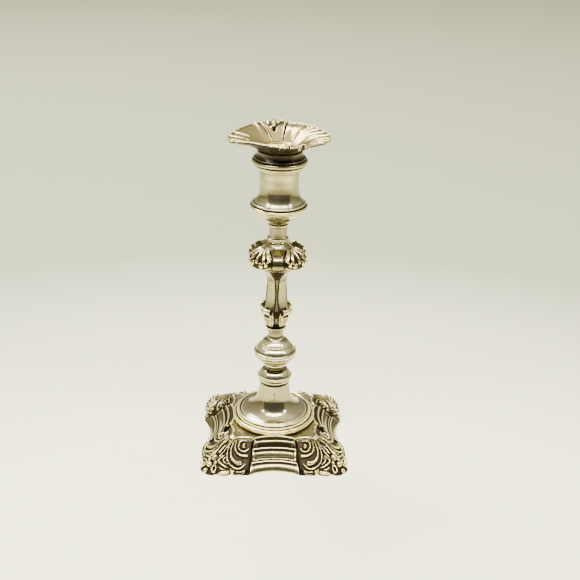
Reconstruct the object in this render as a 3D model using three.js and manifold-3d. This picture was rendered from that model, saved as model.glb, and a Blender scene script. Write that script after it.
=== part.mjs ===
// A loaded table candlestick of sheet silver: square stepped base with shell corners, dome,
// knops, faceted shaft with scroll brackets, shell knop, vase socket and a loose nozzle.
// Millimetres, +Z up, origin on the floor under the middle of the base, front towards -Y.
import * as THREE from 'three';
import { mergeVertices } from 'three/addons/utils/BufferGeometryUtils.js';
import Module from 'manifold-3d';

const wasm = await Module();
wasm.setup();

// ---- driving dimensions ----
const seam = 0.3;                 // clearance between pieces that meet
const sheet = 1.2;                // wall of the silver pieces
const facets = 24;                // segments round a large turned piece
const smallFacets = 16;           // segments round a small turned piece

const base = {
  reach: 51.2,                    // centre to the middle of a side, at the floor
  height: 19,                     // floor to the top plate
  plateReach: 30.5,               // centre to the middle of the top plate's side
  dip: 4.2,                       // how far a side curves in between its ends
  floorSpan: 18.5,                // half length of a side at the floor
  plateSpan: 15.1,                // half length of a side at the top plate
  floorCut: 14.3,                 // how far the plain corner stops short of a square one, at the floor
  plateCut: 5.6,                  // the same at the top plate
  opening: 12.5,                  // radius of the hole in the top plate
  lip: 1.2,                       // upright edge at the floor
};
const steps = [                   // up a side: share of the height, share of the way outwards
  { height: 0.29, out: 0.72 },
  { height: 0.384, out: 0.68 },
  { height: 0.7, out: 0.39 },
  { height: 0.747, out: 0.31 },
  { height: 0.921, out: 0.24 },
  { height: 0.947, out: 0.09 },
];
const notch = { width: 2, plateDepth: 3, floorDepth: 7 };   // set-back beside each end of a side
const cornerBulge = 0.1;          // how far a plain corner swells, per mm of chord

const cornerShell = {
  inset: 5.5,                     // plain corner of the top plate to the middle of the fan
  spread: 60,                     // degrees each way from the diagonal
  tip: 3.6,                       // extra length on the diagonal
  tipWidth: 26,                   // degrees over which the tip fades out
  rise: 2,                        // height of the fan's root over the top plate
  edge: 3,                        // height of its outer edge
  flute: 0.9,                     // depth of the flutes
  ribs: 7,
};

const pad = { thickness: 1 };
const board = { thickness: 8, recess: 4.6, recessRadius: 9 };
const rod = { radius: 2, clearance: 0.3, tail: 1.2 };
const washer = { radius: 8, thickness: 1 };
const nut = { radius: 4.1, thickness: 2.6 };

const dome = { height: 32, foot: 23.6, neck: 11.4 };
const wellRing = { width: 8.1, height: 6.8 };     // round the dome's foot
const lowerKnop = { height: 12.6, radius: 13, neck: 7.1 };
const knopRing = { height: 3.2, radius: 8.4 };
const mainKnop = { height: 22, radius: 16.2, neck: 5.8 };
const collar = { height: 8, radius: 7.5, neck: 5.7 };
const shaft = { height: 45.4, waist: 7.4, swell: 10.4, strip: 1.2 };
const bracket = { reach: 13.2, width: 4.4, foot: 5, footThickness: 1.6, eye: 13.2, curl: 3.8 };
const shellKnop = { height: 22, reach: 20.5, lobe: 1.8, end: 6.8 };
const neckRing = { height: 3.7, radius: 7.7 };
const neck = { height: 10.6, waist: 6.4, end: 7.4 };

const candleHole = 11.2;          // radius inside the sleeve
const sleeve = { wall: 1.2, depth: 40, floor: 1.2, play: 0.6 };
const vase = { height: 30, waist: candleHole + sleeve.wall + sleeve.play + sheet, flare: 5 };
const lowerRing = { height: 4, radius: vase.waist + vase.flare + 1.7 };
const upperRing = { height: 3, radius: vase.waist + vase.flare + 0.7 };
const cup = { height: 9.8, radius: vase.waist + 3.8, floor: 3 };
const rim = { height: 5.8, foot: vase.waist + 4.4, radius: vase.waist + 1.7 };
const pan = {
  reach: 30.6,                    // mean reach of the rim
  lobe: 5.9,                      // rim's extra reach at a shell, and its loss between two
  height: 9.6,                    // underside of the floor to the top of a shell
  wave: 0.6,                      // rim's drop at a shell, and its rise between two
  floor: rim.radius + seam,       // radius of the flat floor, which covers the socket's rim
  wall: 1.3,
  turn: 10,                       // degrees the nozzle is turned in the socket
};

// ---- shapes ----
const radians = THREE.MathUtils.degToRad;

function turned(profile, segments = facets) {
  const points = profile.map(([r, z]) => new THREE.Vector2(r, z));
  return new THREE.LatheGeometry(points, segments).rotateX(Math.PI / 2);
}

// A turned ring: its profile runs up the outside and down the inside, and closes on itself.
function turnedRing(profile, segments) {
  return turned([...profile, profile[0]], segments);
}

// Radius of a profile at a height, its points being in order of height.
function radiusAt(profile, z) {
  const after = profile.findIndex(([, height]) => height >= z);
  if (after < 1) return profile[after < 0 ? profile.length - 1 : 0][0];
  const [r0, z0] = profile[after - 1];
  const [r1, z1] = profile[after];
  return THREE.MathUtils.mapLinear(z, z0, z1, r0, r1);
}

// Smallest radius of a profile within a distance of a height.
function tightestNear(profile, z, distance) {
  const [low, high] = [Math.max(z - distance, profile[0][1]), Math.min(z + distance, profile.at(-1)[1])];
  const corners = profile.filter(([, height]) => height > low && height < high).map(([r]) => r);
  return Math.min(radiusAt(profile, low), radiusAt(profile, high), ...corners);
}

// The inside of a sheet-metal turning, everywhere at least one sheet within its outer profile.
function insideOf(profile, levels = 5) {
  const inside = [];
  for (let i = 0; i <= levels; i += 1) {
    const z = THREE.MathUtils.lerp(profile[0][1], profile.at(-1)[1], i / levels);
    inside.push([tightestNear(profile, z, sheet) - sheet, z]);
  }
  return inside;
}

function raised(profile, segments = facets, levels = 5) {
  return turnedRing([...profile, ...insideOf(profile, levels).reverse()], segments);
}

// The two triangles between neighbouring points of two rings. Their shared edge climbs the same
// way whichever ring comes first, so that a skin and what lies inside it stay parallel.
function quad(low, high, j, k, rising) {
  return rising
    ? [low + j, low + k, high + k, low + j, high + k, high + j]
    : [low + j, low + k, high + j, low + k, high + k, high + j];
}

// Joins each ring to the next; all have equally many points and run anticlockwise from above.
function bands(rings, pairs) {
  const count = rings[0].length;
  const index = [];
  for (const [i, next] of pairs) {
    const rising = rings[next][0][2] >= rings[i][0][2];
    for (let j = 0; j < count; j += 1) {
      index.push(...quad(i * count, next * count, j, (j + 1) % count, rising));
    }
  }
  return index;
}

// A tubular solid: the rings run up the outside, down the inside and back to the first.
function loftLoop(rings) {
  const pairs = rings.map((_, i) => [i, (i + 1) % rings.length]);
  return indexed(rings.flat(), bands(rings, pairs));
}

// A full solid, with a flat cap at each end fanned from its middle.
function loftCapped(rings) {
  const count = rings[0].length;
  const index = bands(rings, rings.slice(1).map((_, i) => [i, i + 1]));
  const last = (rings.length - 1) * count;
  const middles = rings.length * count;
  for (let j = 0; j < count; j += 1) {
    const k = (j + 1) % count;
    index.push(middles, k, j);
    index.push(middles + 1, last + j, last + k);
  }
  return indexed([...rings.flat(), middleOf(rings[0]), middleOf(rings.at(-1))], index);
}

function middleOf(ring) {
  return [0, 1, 2].map((axis) => ring.reduce((sum, point) => sum + point[axis], 0) / ring.length);
}

function indexed(points, index) {
  const geometry = new THREE.BufferGeometry();
  geometry.setAttribute('position', new THREE.Float32BufferAttribute(points.flat(), 3));
  geometry.setIndex(index);
  return geometry;
}

function toSolid(geometry) {
  const bare = geometry.clone();
  bare.deleteAttribute('normal');
  bare.deleteAttribute('uv');
  const merged = mergeVertices(bare, 1e-4);
  return new wasm.Manifold(new wasm.Mesh({
    numProp: 3,
    vertProperties: new Float32Array(merged.attributes.position.array),
    triVerts: new Uint32Array(merged.index.array),
  }));
}

function toGeometry(solid) {
  const mesh = solid.getMesh();
  const geometry = new THREE.BufferGeometry();
  geometry.setAttribute('position', new THREE.Float32BufferAttribute(mesh.vertProperties, 3));
  geometry.setIndex([...mesh.triVerts]);
  return geometry;
}

function hexagonRing(radius, bore, bottom, thickness) {
  const shape = new THREE.Shape();
  for (let i = 0; i < 6; i += 1) {
    const angle = i * Math.PI / 3;
    shape[i ? 'lineTo' : 'moveTo'](radius * Math.cos(angle), radius * Math.sin(angle));
  }
  shape.closePath();
  shape.holes.push(new THREE.Path().absarc(0, 0, bore, 0, 2 * Math.PI, true));
  const options = { depth: thickness, bevelEnabled: false, curveSegments: 8 };
  return new THREE.ExtrudeGeometry(shape, options).translate(0, 0, bottom);
}

// ---- the base ----
// Down a side: the reach of its middle at each edge of its steps.
const baseProfile = [
  [base.reach, 0],
  [base.reach - base.lip / 3, base.lip],
  ...steps.map((step) => [
    THREE.MathUtils.lerp(base.plateReach, base.reach, step.out), base.height * step.height]),
  [base.plateReach, base.height],
];
const stepHeights = baseProfile.map(([, z]) => z);
const floorCorner = Math.SQRT2 * (base.reach + base.dip) - base.floorCut;
const plateCorner = Math.SQRT2 * (base.plateReach + base.dip) - base.plateCut;

// A side's reach and half length at a height, and the plain corner beside it.
function baseSkin(z) {
  const down = 1 - z / base.height;
  return {
    reach: radiusAt(baseProfile, z),
    span: THREE.MathUtils.lerp(base.plateSpan, base.floorSpan, down),
    corner: THREE.MathUtils.lerp(plateCorner, floorCorner, down),
    depth: THREE.MathUtils.lerp(notch.plateDepth, notch.floorDepth, down),
  };
}

// The base's outline at a height, moved outwards by a distance.
function baseOutline(skinHeight, outwards, z) {
  const skin = baseSkin(THREE.MathUtils.clamp(skinHeight, 0, base.height));
  const reach = skin.reach + outwards;
  const span = skin.span + outwards;
  const end = reach + base.dip;
  const side = [-1, -0.5, 0, 0.5, 1].map((share) => [share * span, -(reach + base.dip * share ** 2)]);
  const inner = [span + notch.width, -(end - skin.depth)];
  const tip = (skin.corner + outwards) * Math.SQRT1_2;
  const chord = Math.hypot(tip - inner[0], tip + inner[1]);
  const swell = cornerBulge * chord;
  const shoulder = [
    (inner[0] + tip) / 2 + swell * (inner[1] + tip) / -chord,
    (inner[1] - tip) / 2 - swell * (tip - inner[0]) / chord,
  ];
  const corner = [inner, shoulder, [tip, -tip], [-shoulder[1], -shoulder[0]], [-inner[1], -inner[0]]];
  const points = [];
  for (let quarter = 0; quarter < 4; quarter += 1) {
    const [cos, sin] = [[1, 0, -1, 0][quarter], [0, 1, 0, -1][quarter]];
    for (const [x, y] of [...side, ...corner]) {
      points.push([x * cos - y * sin, x * sin + y * cos, z]);
    }
  }
  return points;
}

// A circle with a point at the same angle as each point of an outline.
function circleUnder(outline, radius, z) {
  return outline.map(([x, y]) => {
    const share = radius / Math.hypot(x, y);
    return [x * share, y * share, z];
  });
}

const skinInside = (z) => baseOutline(z + sheet, -sheet, z);

function baseShell() {
  const outside = stepHeights.map((z) => baseOutline(z, 0, z));
  const inside = stepHeights.filter((z) => z > 2 * sheet).map((z) => skinInside(z - sheet)).reverse();
  const top = outside.at(-1);
  return loftLoop([
    ...outside,
    circleUnder(top, base.opening, base.height),
    circleUnder(top, base.opening, base.height - sheet),
    ...inside,
    baseOutline(base.lip, -1.5 * sheet, 0),
  ]);
}

// A solid block of the base's shape, a little larger all over, for cutting what lies against it.
function grownBase(clearance) {
  const rings = stepHeights.map((z) => baseOutline(z, clearance, z + clearance));
  return toSolid(loftCapped([baseOutline(0, clearance, -clearance), ...rings]));
}

// Inside the base, a plate or block stays one seam clear of the skin, sideways and downwards.
const insideOutline = (skinHeight, z) => baseOutline(skinHeight + sheet + seam, -sheet - seam, z);

const padTop = pad.thickness;
const boardBottom = padTop + seam;
const boardTop = boardBottom + board.thickness;
const recessTop = boardBottom + board.recess;
const fillBottom = boardTop + seam;
const rodHole = rod.radius + rod.clearance;

function baizePad() {
  return loftCapped([0, padTop].map((z) => insideOutline(padTop + 2 * sheet, z)));
}

function baseBoard() {
  const outline = (z) => insideOutline(boardTop, z);
  const hole = (radius, z) => circleUnder(outline(z), radius, z);
  return loftLoop([
    outline(boardBottom), outline(boardTop),
    hole(rodHole, boardTop), hole(rodHole, recessTop),
    hole(board.recessRadius, recessTop), hole(board.recessRadius, boardBottom),
  ]);
}

function baseFill() {
  const heights = [fillBottom, ...stepHeights.map((z) => z - sheet - seam).filter((z) => z > fillBottom)];
  const rings = heights.map((z) => insideOutline(z, z));
  return loftLoop([
    ...rings, circleUnder(rings[0], rodHole, heights.at(-1)), circleUnder(rings[0], rodHole, fillBottom),
  ]);
}

// One corner's fan, a stack of upright sections that turn about a point on the diagonal. Its
// sides are as long as the base's side is far, and the base is cut out from under it.
function cornerFan(baseCut) {
  const middle = (plateCorner - cornerShell.inset) * Math.SQRT1_2;
  const sideLength = base.reach + base.dip - middle;
  const root = base.height + cornerShell.rise;
  const sections = [];
  const count = 2 * cornerShell.ribs - 1;
  for (let i = 0; i < count; i += 1) {
    const angle = THREE.MathUtils.lerp(-cornerShell.spread, cornerShell.spread, i / (count - 1));
    const groove = i % 2 ? -cornerShell.flute : 0;
    const tip = cornerShell.tip * Math.exp(-((angle / cornerShell.tipWidth) ** 2));
    const length = sideLength + tip + groove;
    const section = [
      [0.06, 0], [0.06, root], [0.3, 0.9 * root + groove], [0.6, 0.62 * root + groove],
      [0.85, 0.36 * root + groove], [1, cornerShell.edge], [1, 0],
    ];
    const direction = radians(angle - 45);
    sections.push(section.map(([share, z]) => [
      middle + share * length * Math.cos(direction), -middle + share * length * Math.sin(direction), z]));
  }
  return toSolid(loftCapped(sections)).subtract(baseCut);
}

// ---- turned pieces of the stem, each standing on the one below ----
const stack = {};
let top = base.height;
function stand(name, height) {
  const bottom = top + seam;
  top = bottom + height;
  stack[name] = { bottom, top };
  return stack[name];
}
stand('dome', dome.height);
stand('lowerKnop', lowerKnop.height);
stand('knopRing', knopRing.height);
stand('mainKnop', mainKnop.height);
stand('collar', collar.height);
stand('shaft', shaft.height);
stand('shellKnop', shellKnop.height);
stand('neckRing', neckRing.height);
stand('neck', neck.height);
stand('cup', cup.height);
stand('lowerRing', lowerRing.height);
stand('vase', vase.height);
stand('upperRing', upperRing.height);
stand('rim', rim.height);

// Places a profile given as [radius, share of the piece's height] between its two ends.
function placed(name, shares) {
  const { bottom, top: end } = stack[name];
  return shares.map(([r, share]) => [r, THREE.MathUtils.lerp(bottom, end, share)]);
}

const domeProfile = placed('dome', [
  [dome.foot, 0], [dome.foot, 0.2], [0.76 * dome.foot, 0.31], [0.62 * dome.foot, 0.42],
  [dome.neck + 1.6, 0.52], [dome.neck + 0.7, 0.66], [dome.neck, 0.89], [dome.neck + 0.1, 1],
]);
const lowerKnopProfile = placed('lowerKnop', [
  [dome.neck + 0.1, 0], [lowerKnop.radius - 0.4, 0.22], [lowerKnop.radius, 0.34],
  [lowerKnop.radius - 1.1, 0.46], [0.73 * lowerKnop.radius, 0.7], [lowerKnop.neck, 0.84], [lowerKnop.neck, 1],
]);
const knopRingProfile = placed('knopRing', [
  [lowerKnop.neck, 0], [knopRing.radius, 0.4], [knopRing.radius, 0.8], [knopRing.radius - 0.6, 1],
]);
const mainKnopProfile = placed('mainKnop', [
  [knopRing.radius - 0.4, 0], [0.7 * mainKnop.radius, 0.05], [0.9 * mainKnop.radius, 0.22],
  [mainKnop.radius, 0.37], [mainKnop.radius, 0.45], [0.91 * mainKnop.radius, 0.5],
  [0.66 * mainKnop.radius, 0.68], [0.64 * mainKnop.radius, 0.78], [mainKnop.neck + 2.4, 0.84],
  [mainKnop.neck, 1],
]);
const collarProfile = placed('collar', [
  [collar.neck, 0], [collar.neck, 0.55], [collar.radius, 0.8], [collar.radius, 1],
]);
const neckRingProfile = placed('neckRing', [
  [neckRing.radius - 1, 0], [neckRing.radius, 0.3], [neckRing.radius, 0.8], [neckRing.radius - 1, 1],
]);
const neckProfile = placed('neck', [
  [neck.waist, 0], [neck.waist, 0.3], [neck.end - 0.4, 0.75], [neck.end, 1],
]);
const cupProfile = placed('cup', [
  [neck.end, 0], [0.58 * cup.radius, 0.26], [0.77 * cup.radius, 0.5], [0.9 * cup.radius, 0.78],
  [cup.radius, 1],
]);
const lowerRingProfile = placed('lowerRing', [
  [lowerRing.radius - 1.6, 0], [lowerRing.radius, 0.35], [lowerRing.radius, 0.7], [lowerRing.radius - 1.2, 1],
]);
const vaseProfile = placed('vase', [
  [vase.waist + vase.flare, 0], [vase.waist + 2.6, 0.1], [vase.waist + 1, 0.2], [vase.waist, 0.38],
  [vase.waist, 0.62], [vase.waist + 0.5, 0.8], [vase.waist + 2, 0.88], [vase.waist + vase.flare, 1],
]);
const upperRingProfile = placed('upperRing', [
  [upperRing.radius - 0.9, 0], [upperRing.radius, 0.35], [upperRing.radius, 0.7], [upperRing.radius - 1, 1],
]);
const rimProfile = placed('rim', [[rim.foot, 0], [rim.radius + 0.5, 0.45], [rim.radius, 1]]);

function wellMoulding() {
  const bottom = base.height + seam;
  const { height } = wellRing;
  const inner = dome.foot + seam;
  const outer = inner + wellRing.width;
  return turnedRing([
    [inner, bottom], [outer - 1, bottom], [outer, bottom + 0.3 * height], [outer - 1, bottom + 0.5 * height],
    [outer - 2.8, bottom + 0.55 * height], [inner + 3.2, bottom + 0.75 * height],
    [inner + 2.4, bottom + 0.95 * height], [inner + 0.8, bottom + height], [inner, bottom + 0.9 * height],
  ]);
}

const cupFloor = stack.cup.bottom + cup.floor;

function socketCup() {
  return turnedRing([
    [rodHole, stack.cup.bottom], ...cupProfile, [cup.radius - sheet, stack.cup.top],
    [0.58 * cup.radius, cupFloor + 0.5 * cup.floor], [0.4 * cup.radius, cupFloor], [rodHole, cupFloor],
  ]);
}

// ---- the faceted shaft: four wide faces on the diagonals, narrow strips front, back and sides ----
const shaftReach = placed('shaft', [
  [0.67 * shaft.swell, 0], [0.7 * shaft.swell, 0.04], [0.92 * shaft.swell, 0.11], [shaft.swell, 0.22],
  [0.97 * shaft.swell, 0.3], [shaft.waist + 1.6, 0.4], [shaft.waist + 0.6, 0.52], [shaft.waist, 0.73],
  [shaft.waist + 0.2, 0.86], [shaft.waist + 1.4, 0.95], [shaft.waist + 2.6, 1],
]);
const shaftStrip = placed('shaft', [
  [2.4 * shaft.strip, 0], [1.6 * shaft.strip, 0.2], [shaft.strip, 0.5], [shaft.strip, 0.86],
  [2.6 * shaft.strip, 1],
]);

function shaftRing(z, outwards) {
  const reach = radiusAt(shaftReach, z) + outwards;
  const strip = Math.max(radiusAt(shaftStrip, z) + 0.4 * outwards, 0.4);
  const ring = [];
  for (let quarter = 0; quarter < 4; quarter += 1) {
    const angle = quarter * Math.PI / 2;
    for (const side of [-strip, strip]) {
      const [cos, sin] = [Math.cos(angle), Math.sin(angle)];
      ring.push([reach * cos - side * sin, reach * sin + side * cos, z]);
    }
  }
  return ring;
}

// Half way across a wide face, measured from the axis.
const faceReach = (z) => (radiusAt(shaftReach, z) + radiusAt(shaftStrip, z)) * Math.SQRT1_2;

function wholeShaft() {
  const heights = shaftReach.map(([, z]) => z);
  const outside = heights.map((z) => shaftRing(z, 0));
  const inside = heights.filter((_, i) => i % 2 === 0).map((z) => shaftRing(z, -1.4 * sheet)).reverse();
  return toSolid(loftLoop([...outside, ...inside]));
}

function shaftHalf(side) {
  const size = 4 * shaft.swell;
  const keep = new THREE.BoxGeometry(size, size, 2 * shaft.height);
  keep.translate(side * (size + seam) / 2, 0, stack.shaft.bottom + shaft.height / 2);
  return toGeometry(wholeShaft().intersect(toSolid(keep)));
}

// A scroll bracket on a wide face: a plate that rises from a foot into a curl, its back edge
// along the face.
function scrollBracket(turn) {
  const bottom = stack.shaft.bottom;
  const foot = bottom + bracket.foot;
  const eye = [bracket.reach - bracket.curl, bottom + bracket.eye];
  const front = [[faceReach(foot) + bracket.footThickness, foot]];
  for (let i = 0; i <= 7; i += 1) {
    const angle = radians(THREE.MathUtils.lerp(-75, 95, i / 7));
    front.push([eye[0] + bracket.curl * Math.cos(angle), eye[1] + bracket.curl * Math.sin(angle)]);
  }
  const head = eye[1] + bracket.curl;
  const bends = shaftReach.map(([, z]) => z).filter((z) => z > foot && z < head);
  const back = [head, ...bends.reverse(), foot].map((z) => [faceReach(z) + 2 * seam, z]);
  const shape = new THREE.Shape([...front, ...back].map(([r, z]) => new THREE.Vector2(r, z)));
  const plate = new THREE.ExtrudeGeometry(shape, { depth: bracket.width, bevelEnabled: false });
  return plate.translate(0, 0, -bracket.width / 2).rotateX(Math.PI / 2).rotateZ(radians(turn));
}

// ---- the shell knop: round ends, swelling to four lobes on the diagonals ----
const knopReach = placed('shellKnop', [
  [shellKnop.end + 2.6, 0], [0.62 * shellKnop.reach, 0.1], [0.9 * shellKnop.reach, 0.26],
  [shellKnop.reach, 0.46], [0.93 * shellKnop.reach, 0.62], [0.7 * shellKnop.reach, 0.8],
  [0.5 * shellKnop.reach, 0.92], [shellKnop.end, 1],
]);

function knopOutline(z, outwards) {
  const reach = radiusAt(knopReach, z);
  const fullness = Math.max(0, (reach - shellKnop.end) / (shellKnop.reach - shellKnop.end));
  const points = [];
  for (let i = 0; i < facets; i += 1) {
    const angle = i * 2 * Math.PI / facets;
    const r = reach + outwards - shellKnop.lobe * fullness * Math.cos(4 * angle);
    points.push([r * Math.cos(angle), r * Math.sin(angle), z]);
  }
  return points;
}

function knopBody() {
  const heights = knopReach.map(([, z]) => z);
  const { bottom, top: end } = stack.shellKnop;
  const inner = (share, radius) => {
    const z = THREE.MathUtils.lerp(bottom, end, share);
    return circleUnder(knopOutline(z, 0), radius, z);
  };
  const hollow = shellKnop.reach - shellKnop.lobe - 2 * sheet;
  return loftLoop([
    ...heights.map((z) => knopOutline(z, 0)),
    inner(1, shellKnop.end - sheet), inner(0.82, 0.52 * hollow), inner(0.5, hollow),
    inner(0.3, 0.8 * hollow), inner(0, shellKnop.end + 1.4),
  ]);
}

// ---- what fills and ties the stem ----
const rodBottom = boardBottom + seam;
const topNutBottom = cupFloor + seam;
const rodTop = topNutBottom + nut.thickness + rod.tail;

// The poured fill: one seam clear of every wall that it touches, round the tie rod.
function stemFill() {
  const shaftRoom = shaftReach.map(([, z]) => [faceReach(z) - 1.4 * sheet, z]);
  const knopRoom = placed('shellKnop', [
    [shellKnop.end - sheet, 0], [shellKnop.end, 0.15], [0.55 * shellKnop.reach, 0.45],
    [shellKnop.end - sheet, 0.9], [shellKnop.end - sheet, 1],
  ]);
  const walls = [
    [base.opening, base.height - sheet], [base.opening, base.height],
    ...insideOf(domeProfile).map(([r, z]) => [Math.min(r, base.opening), z]),
    ...insideOf(lowerKnopProfile), ...insideOf(knopRingProfile, 3), ...insideOf(mainKnopProfile, 8),
    ...insideOf(collarProfile, 4), ...shaftRoom, ...knopRoom, ...insideOf(neckRingProfile, 3),
    ...insideOf(neckProfile, 3),
  ];
  const outside = walls.map(([r, z]) => [r - seam, z]);
  const end = outside.at(-1)[1];
  return turnedRing([...outside, [rodHole, end], [rodHole, outside[0][1]]], smallFacets);
}

function tieRod() {
  return turned([[0, rodBottom], [rod.radius, rodBottom], [rod.radius, rodTop], [0, rodTop]], smallFacets);
}

function rodWasher() {
  const [high, low] = [recessTop - seam, recessTop - seam - washer.thickness];
  return turnedRing([[rodHole, low], [washer.radius, low], [washer.radius, high], [rodHole, high]],
    smallFacets);
}

const rodNutBottom = recessTop - 2 * seam - washer.thickness - nut.thickness;

// ---- the loose nozzle: sleeve in the socket, drip pan on the rim ----
const panBottom = stack.rim.top + seam;
const panFloor = panBottom + pan.wall;
const sleeveRadius = candleHole + sleeve.wall;
const sleeveBottom = panFloor - sleeve.depth;

function nozzleSleeve() {
  return turned([
    [0, sleeveBottom], [sleeveRadius, sleeveBottom], [sleeveRadius, panFloor], [candleHole, panFloor],
    [candleHole, sleeveBottom + sleeve.floor], [0, sleeveBottom + sleeve.floor],
  ]);
}

// A ring of the pan: a share of the way from the flat floor to the waved rim.
function panRing(share, z, outwards = 0) {
  const count = 2 * facets;
  const points = [];
  for (let i = 0; i < count; i += 1) {
    const angle = i * 2 * Math.PI / count;
    const wave = Math.cos(4 * (angle - radians(pan.turn)));
    const r = THREE.MathUtils.lerp(pan.floor, pan.reach + pan.lobe * wave, share) + outwards;
    points.push([r * Math.cos(angle), r * Math.sin(angle), z + share ** 2 * pan.wave * (1 - wave)]);
  }
  return points;
}

function dripPan() {
  const high = panBottom + pan.height;
  const middle = panBottom + 0.58 * pan.height;
  const hole = sleeveRadius + seam - pan.floor;
  return loftLoop([
    panRing(0, panBottom, hole), panRing(0, panBottom), panRing(0.5, middle),
    panRing(1, high - pan.wall, -0.5), panRing(1, high - 0.4 * pan.wall), panRing(1, high, -0.6),
    panRing(0.5, middle + pan.wall, -0.7), panRing(0, panFloor, -0.3), panRing(0, panFloor, hole),
  ]);
}

// ---- the assembly ----
const silver = { color: 0xcfccc4, roughness: 0.28, metalness: 1 };
const gildedSilver = { color: 0xc9bfa6, roughness: 0.34, metalness: 1 };
const iron = { color: 0x56504a, roughness: 0.6, metalness: 0.9 };
const pitch = { color: 0x241d18, roughness: 0.7, metalness: 0 };
const wood = { color: 0x8a6440, roughness: 0.8, metalness: 0 };
const baize = { color: 0x2f5a3a, roughness: 0.95, metalness: 0 };

const candlestick = new THREE.Group();
function add(name, geometry, finish) {
  const mesh = new THREE.Mesh(geometry, new THREE.MeshStandardMaterial(finish));
  mesh.name = name;
  candlestick.add(mesh);
}

add('baize_pad', baizePad(), baize);
add('base_board', baseBoard(), wood);
add('base_fill', baseFill(), pitch);
add('base_shell', baseShell(), silver);

const fan = cornerFan(grownBase(seam));
['front_right', 'back_right', 'back_left', 'front_left'].forEach((place, i) => {
  add(`corner_shell_${place}`, toGeometry(fan).rotateZ(i * Math.PI / 2), gildedSilver);
});

add('well_ring', wellMoulding(), gildedSilver);
add('base_dome', raised(domeProfile), silver);
add('lower_knop', raised(lowerKnopProfile), silver);
add('knop_ring', raised(knopRingProfile, smallFacets, 3), silver);
add('main_knop', raised(mainKnopProfile, facets, 8), silver);
add('stem_collar', raised(collarProfile, smallFacets, 4), silver);
add('shaft_half_left', shaftHalf(-1), silver);
add('shaft_half_right', shaftHalf(1), silver);
['front_right', 'back_right', 'back_left', 'front_left'].forEach((place, i) => {
  add(`scroll_bracket_${place}`, scrollBracket(i * 90 - 45), gildedSilver);
});
add('shell_knop', knopBody(), gildedSilver);
add('neck_ring', raised(neckRingProfile, smallFacets, 3), silver);
add('neck', raised(neckProfile, smallFacets, 3), silver);
add('socket_cup', socketCup(), silver);
add('socket_lower_ring', raised(lowerRingProfile, facets, 2), gildedSilver);
add('socket_vase', raised(vaseProfile), silver);
add('socket_upper_ring', raised(upperRingProfile, facets, 2), gildedSilver);
add('socket_rim', raised(rimProfile, facets, 3), silver);

add('stem_fill', stemFill(), pitch);
add('tie_rod', tieRod(), iron);
add('rod_washer', rodWasher(), iron);
add('rod_nut', hexagonRing(nut.radius, rodHole, rodNutBottom, nut.thickness), iron);
add('top_nut', hexagonRing(nut.radius, rodHole, topNutBottom, nut.thickness), iron);

add('nozzle_sleeve', nozzleSleeve(), silver);
add('drip_pan', dripPan(), gildedSilver);

export default candlestick;
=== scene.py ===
import math

import bmesh
import bpy
import numpy as np
from mathutils import Matrix, Vector


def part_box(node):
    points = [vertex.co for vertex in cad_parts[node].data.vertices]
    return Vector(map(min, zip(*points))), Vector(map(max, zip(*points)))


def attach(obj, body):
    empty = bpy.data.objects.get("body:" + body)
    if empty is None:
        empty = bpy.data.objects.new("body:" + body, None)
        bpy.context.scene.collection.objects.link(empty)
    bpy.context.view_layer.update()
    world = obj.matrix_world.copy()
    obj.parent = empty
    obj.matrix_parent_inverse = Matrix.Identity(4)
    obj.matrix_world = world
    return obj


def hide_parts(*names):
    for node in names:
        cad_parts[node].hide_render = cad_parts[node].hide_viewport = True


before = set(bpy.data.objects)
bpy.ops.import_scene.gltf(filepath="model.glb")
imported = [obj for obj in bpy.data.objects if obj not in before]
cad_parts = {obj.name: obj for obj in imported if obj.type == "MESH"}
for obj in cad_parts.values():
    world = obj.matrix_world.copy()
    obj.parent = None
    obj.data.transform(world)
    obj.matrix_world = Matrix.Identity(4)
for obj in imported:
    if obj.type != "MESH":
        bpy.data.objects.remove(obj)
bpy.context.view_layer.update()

# A silver table candlestick: square base with shell corners, turned stem, loose nozzle and drip pan.
# Sizes below are in millimetres; every mesh is scaled to metres when its piece is finished.
millimetre = 0.001
quarterTurn = math.pi / 2
mergeGap = 0.01
print("frame loaded")


def nodeHeights(node):
    low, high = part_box(node)
    return low[2] / millimetre, high[2] / millimetre


def camelName(node):
    first, *others = node.split("_")
    return first + "".join(part.title() for part in others)


# camera, floor and lights

studio = {
    "cameraPlace": (-19.7, -636.5, 415.4),
    "yaw": 2.67, "pitch": 24.31, "roll": 1.78,  # degrees
    "lens": 58.03,
    "floorReach": 4.0,  # metres, as all that follows
    "floorNear": (0.86, 0.85, 0.60), "floorFar": (0.33, 0.34, 0.23), "floorFront": (0.19, 0.17, 0.11),
    "floorMiddle": (0, -0.35, 0), "floorFade": (0.36, 0.74),  # painted pool of light: the bright near colour fades to the darker far colour, by distance from the middle
    "frontFade": (-0.18, -0.66),  # painted shadow of someone standing in front: fades to the dark front colour, by Y
    "room": [  # height in the room from level to overhead, colour
        (0, (0.20, 0.19, 0.14)), (0.35, (0.42, 0.40, 0.30)), (0.7, (0.62, 0.60, 0.46)),
        (0.86, (1.35, 1.30, 1.08)), (1, (1.6, 1.55, 1.32))],
    "roomStrength": 1.8,
    "lamps": [  # name, width, depth, place, watts
        ("ceilingLamp", 4.8, 0.4, (0.0, -1.0, 2.2), 225),
        ("roomLamp", 1.3, 0.9, (-0.75, 1.2, 2.1), 96),
    ],
    "card": {"radius": 1.05, "halfTurn": 62, "low": 0.08, "high": 1.55, "colour": (0.008, 0.009, 0.013, 1)},
    "clothRoughness": 0.9,
}


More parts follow.
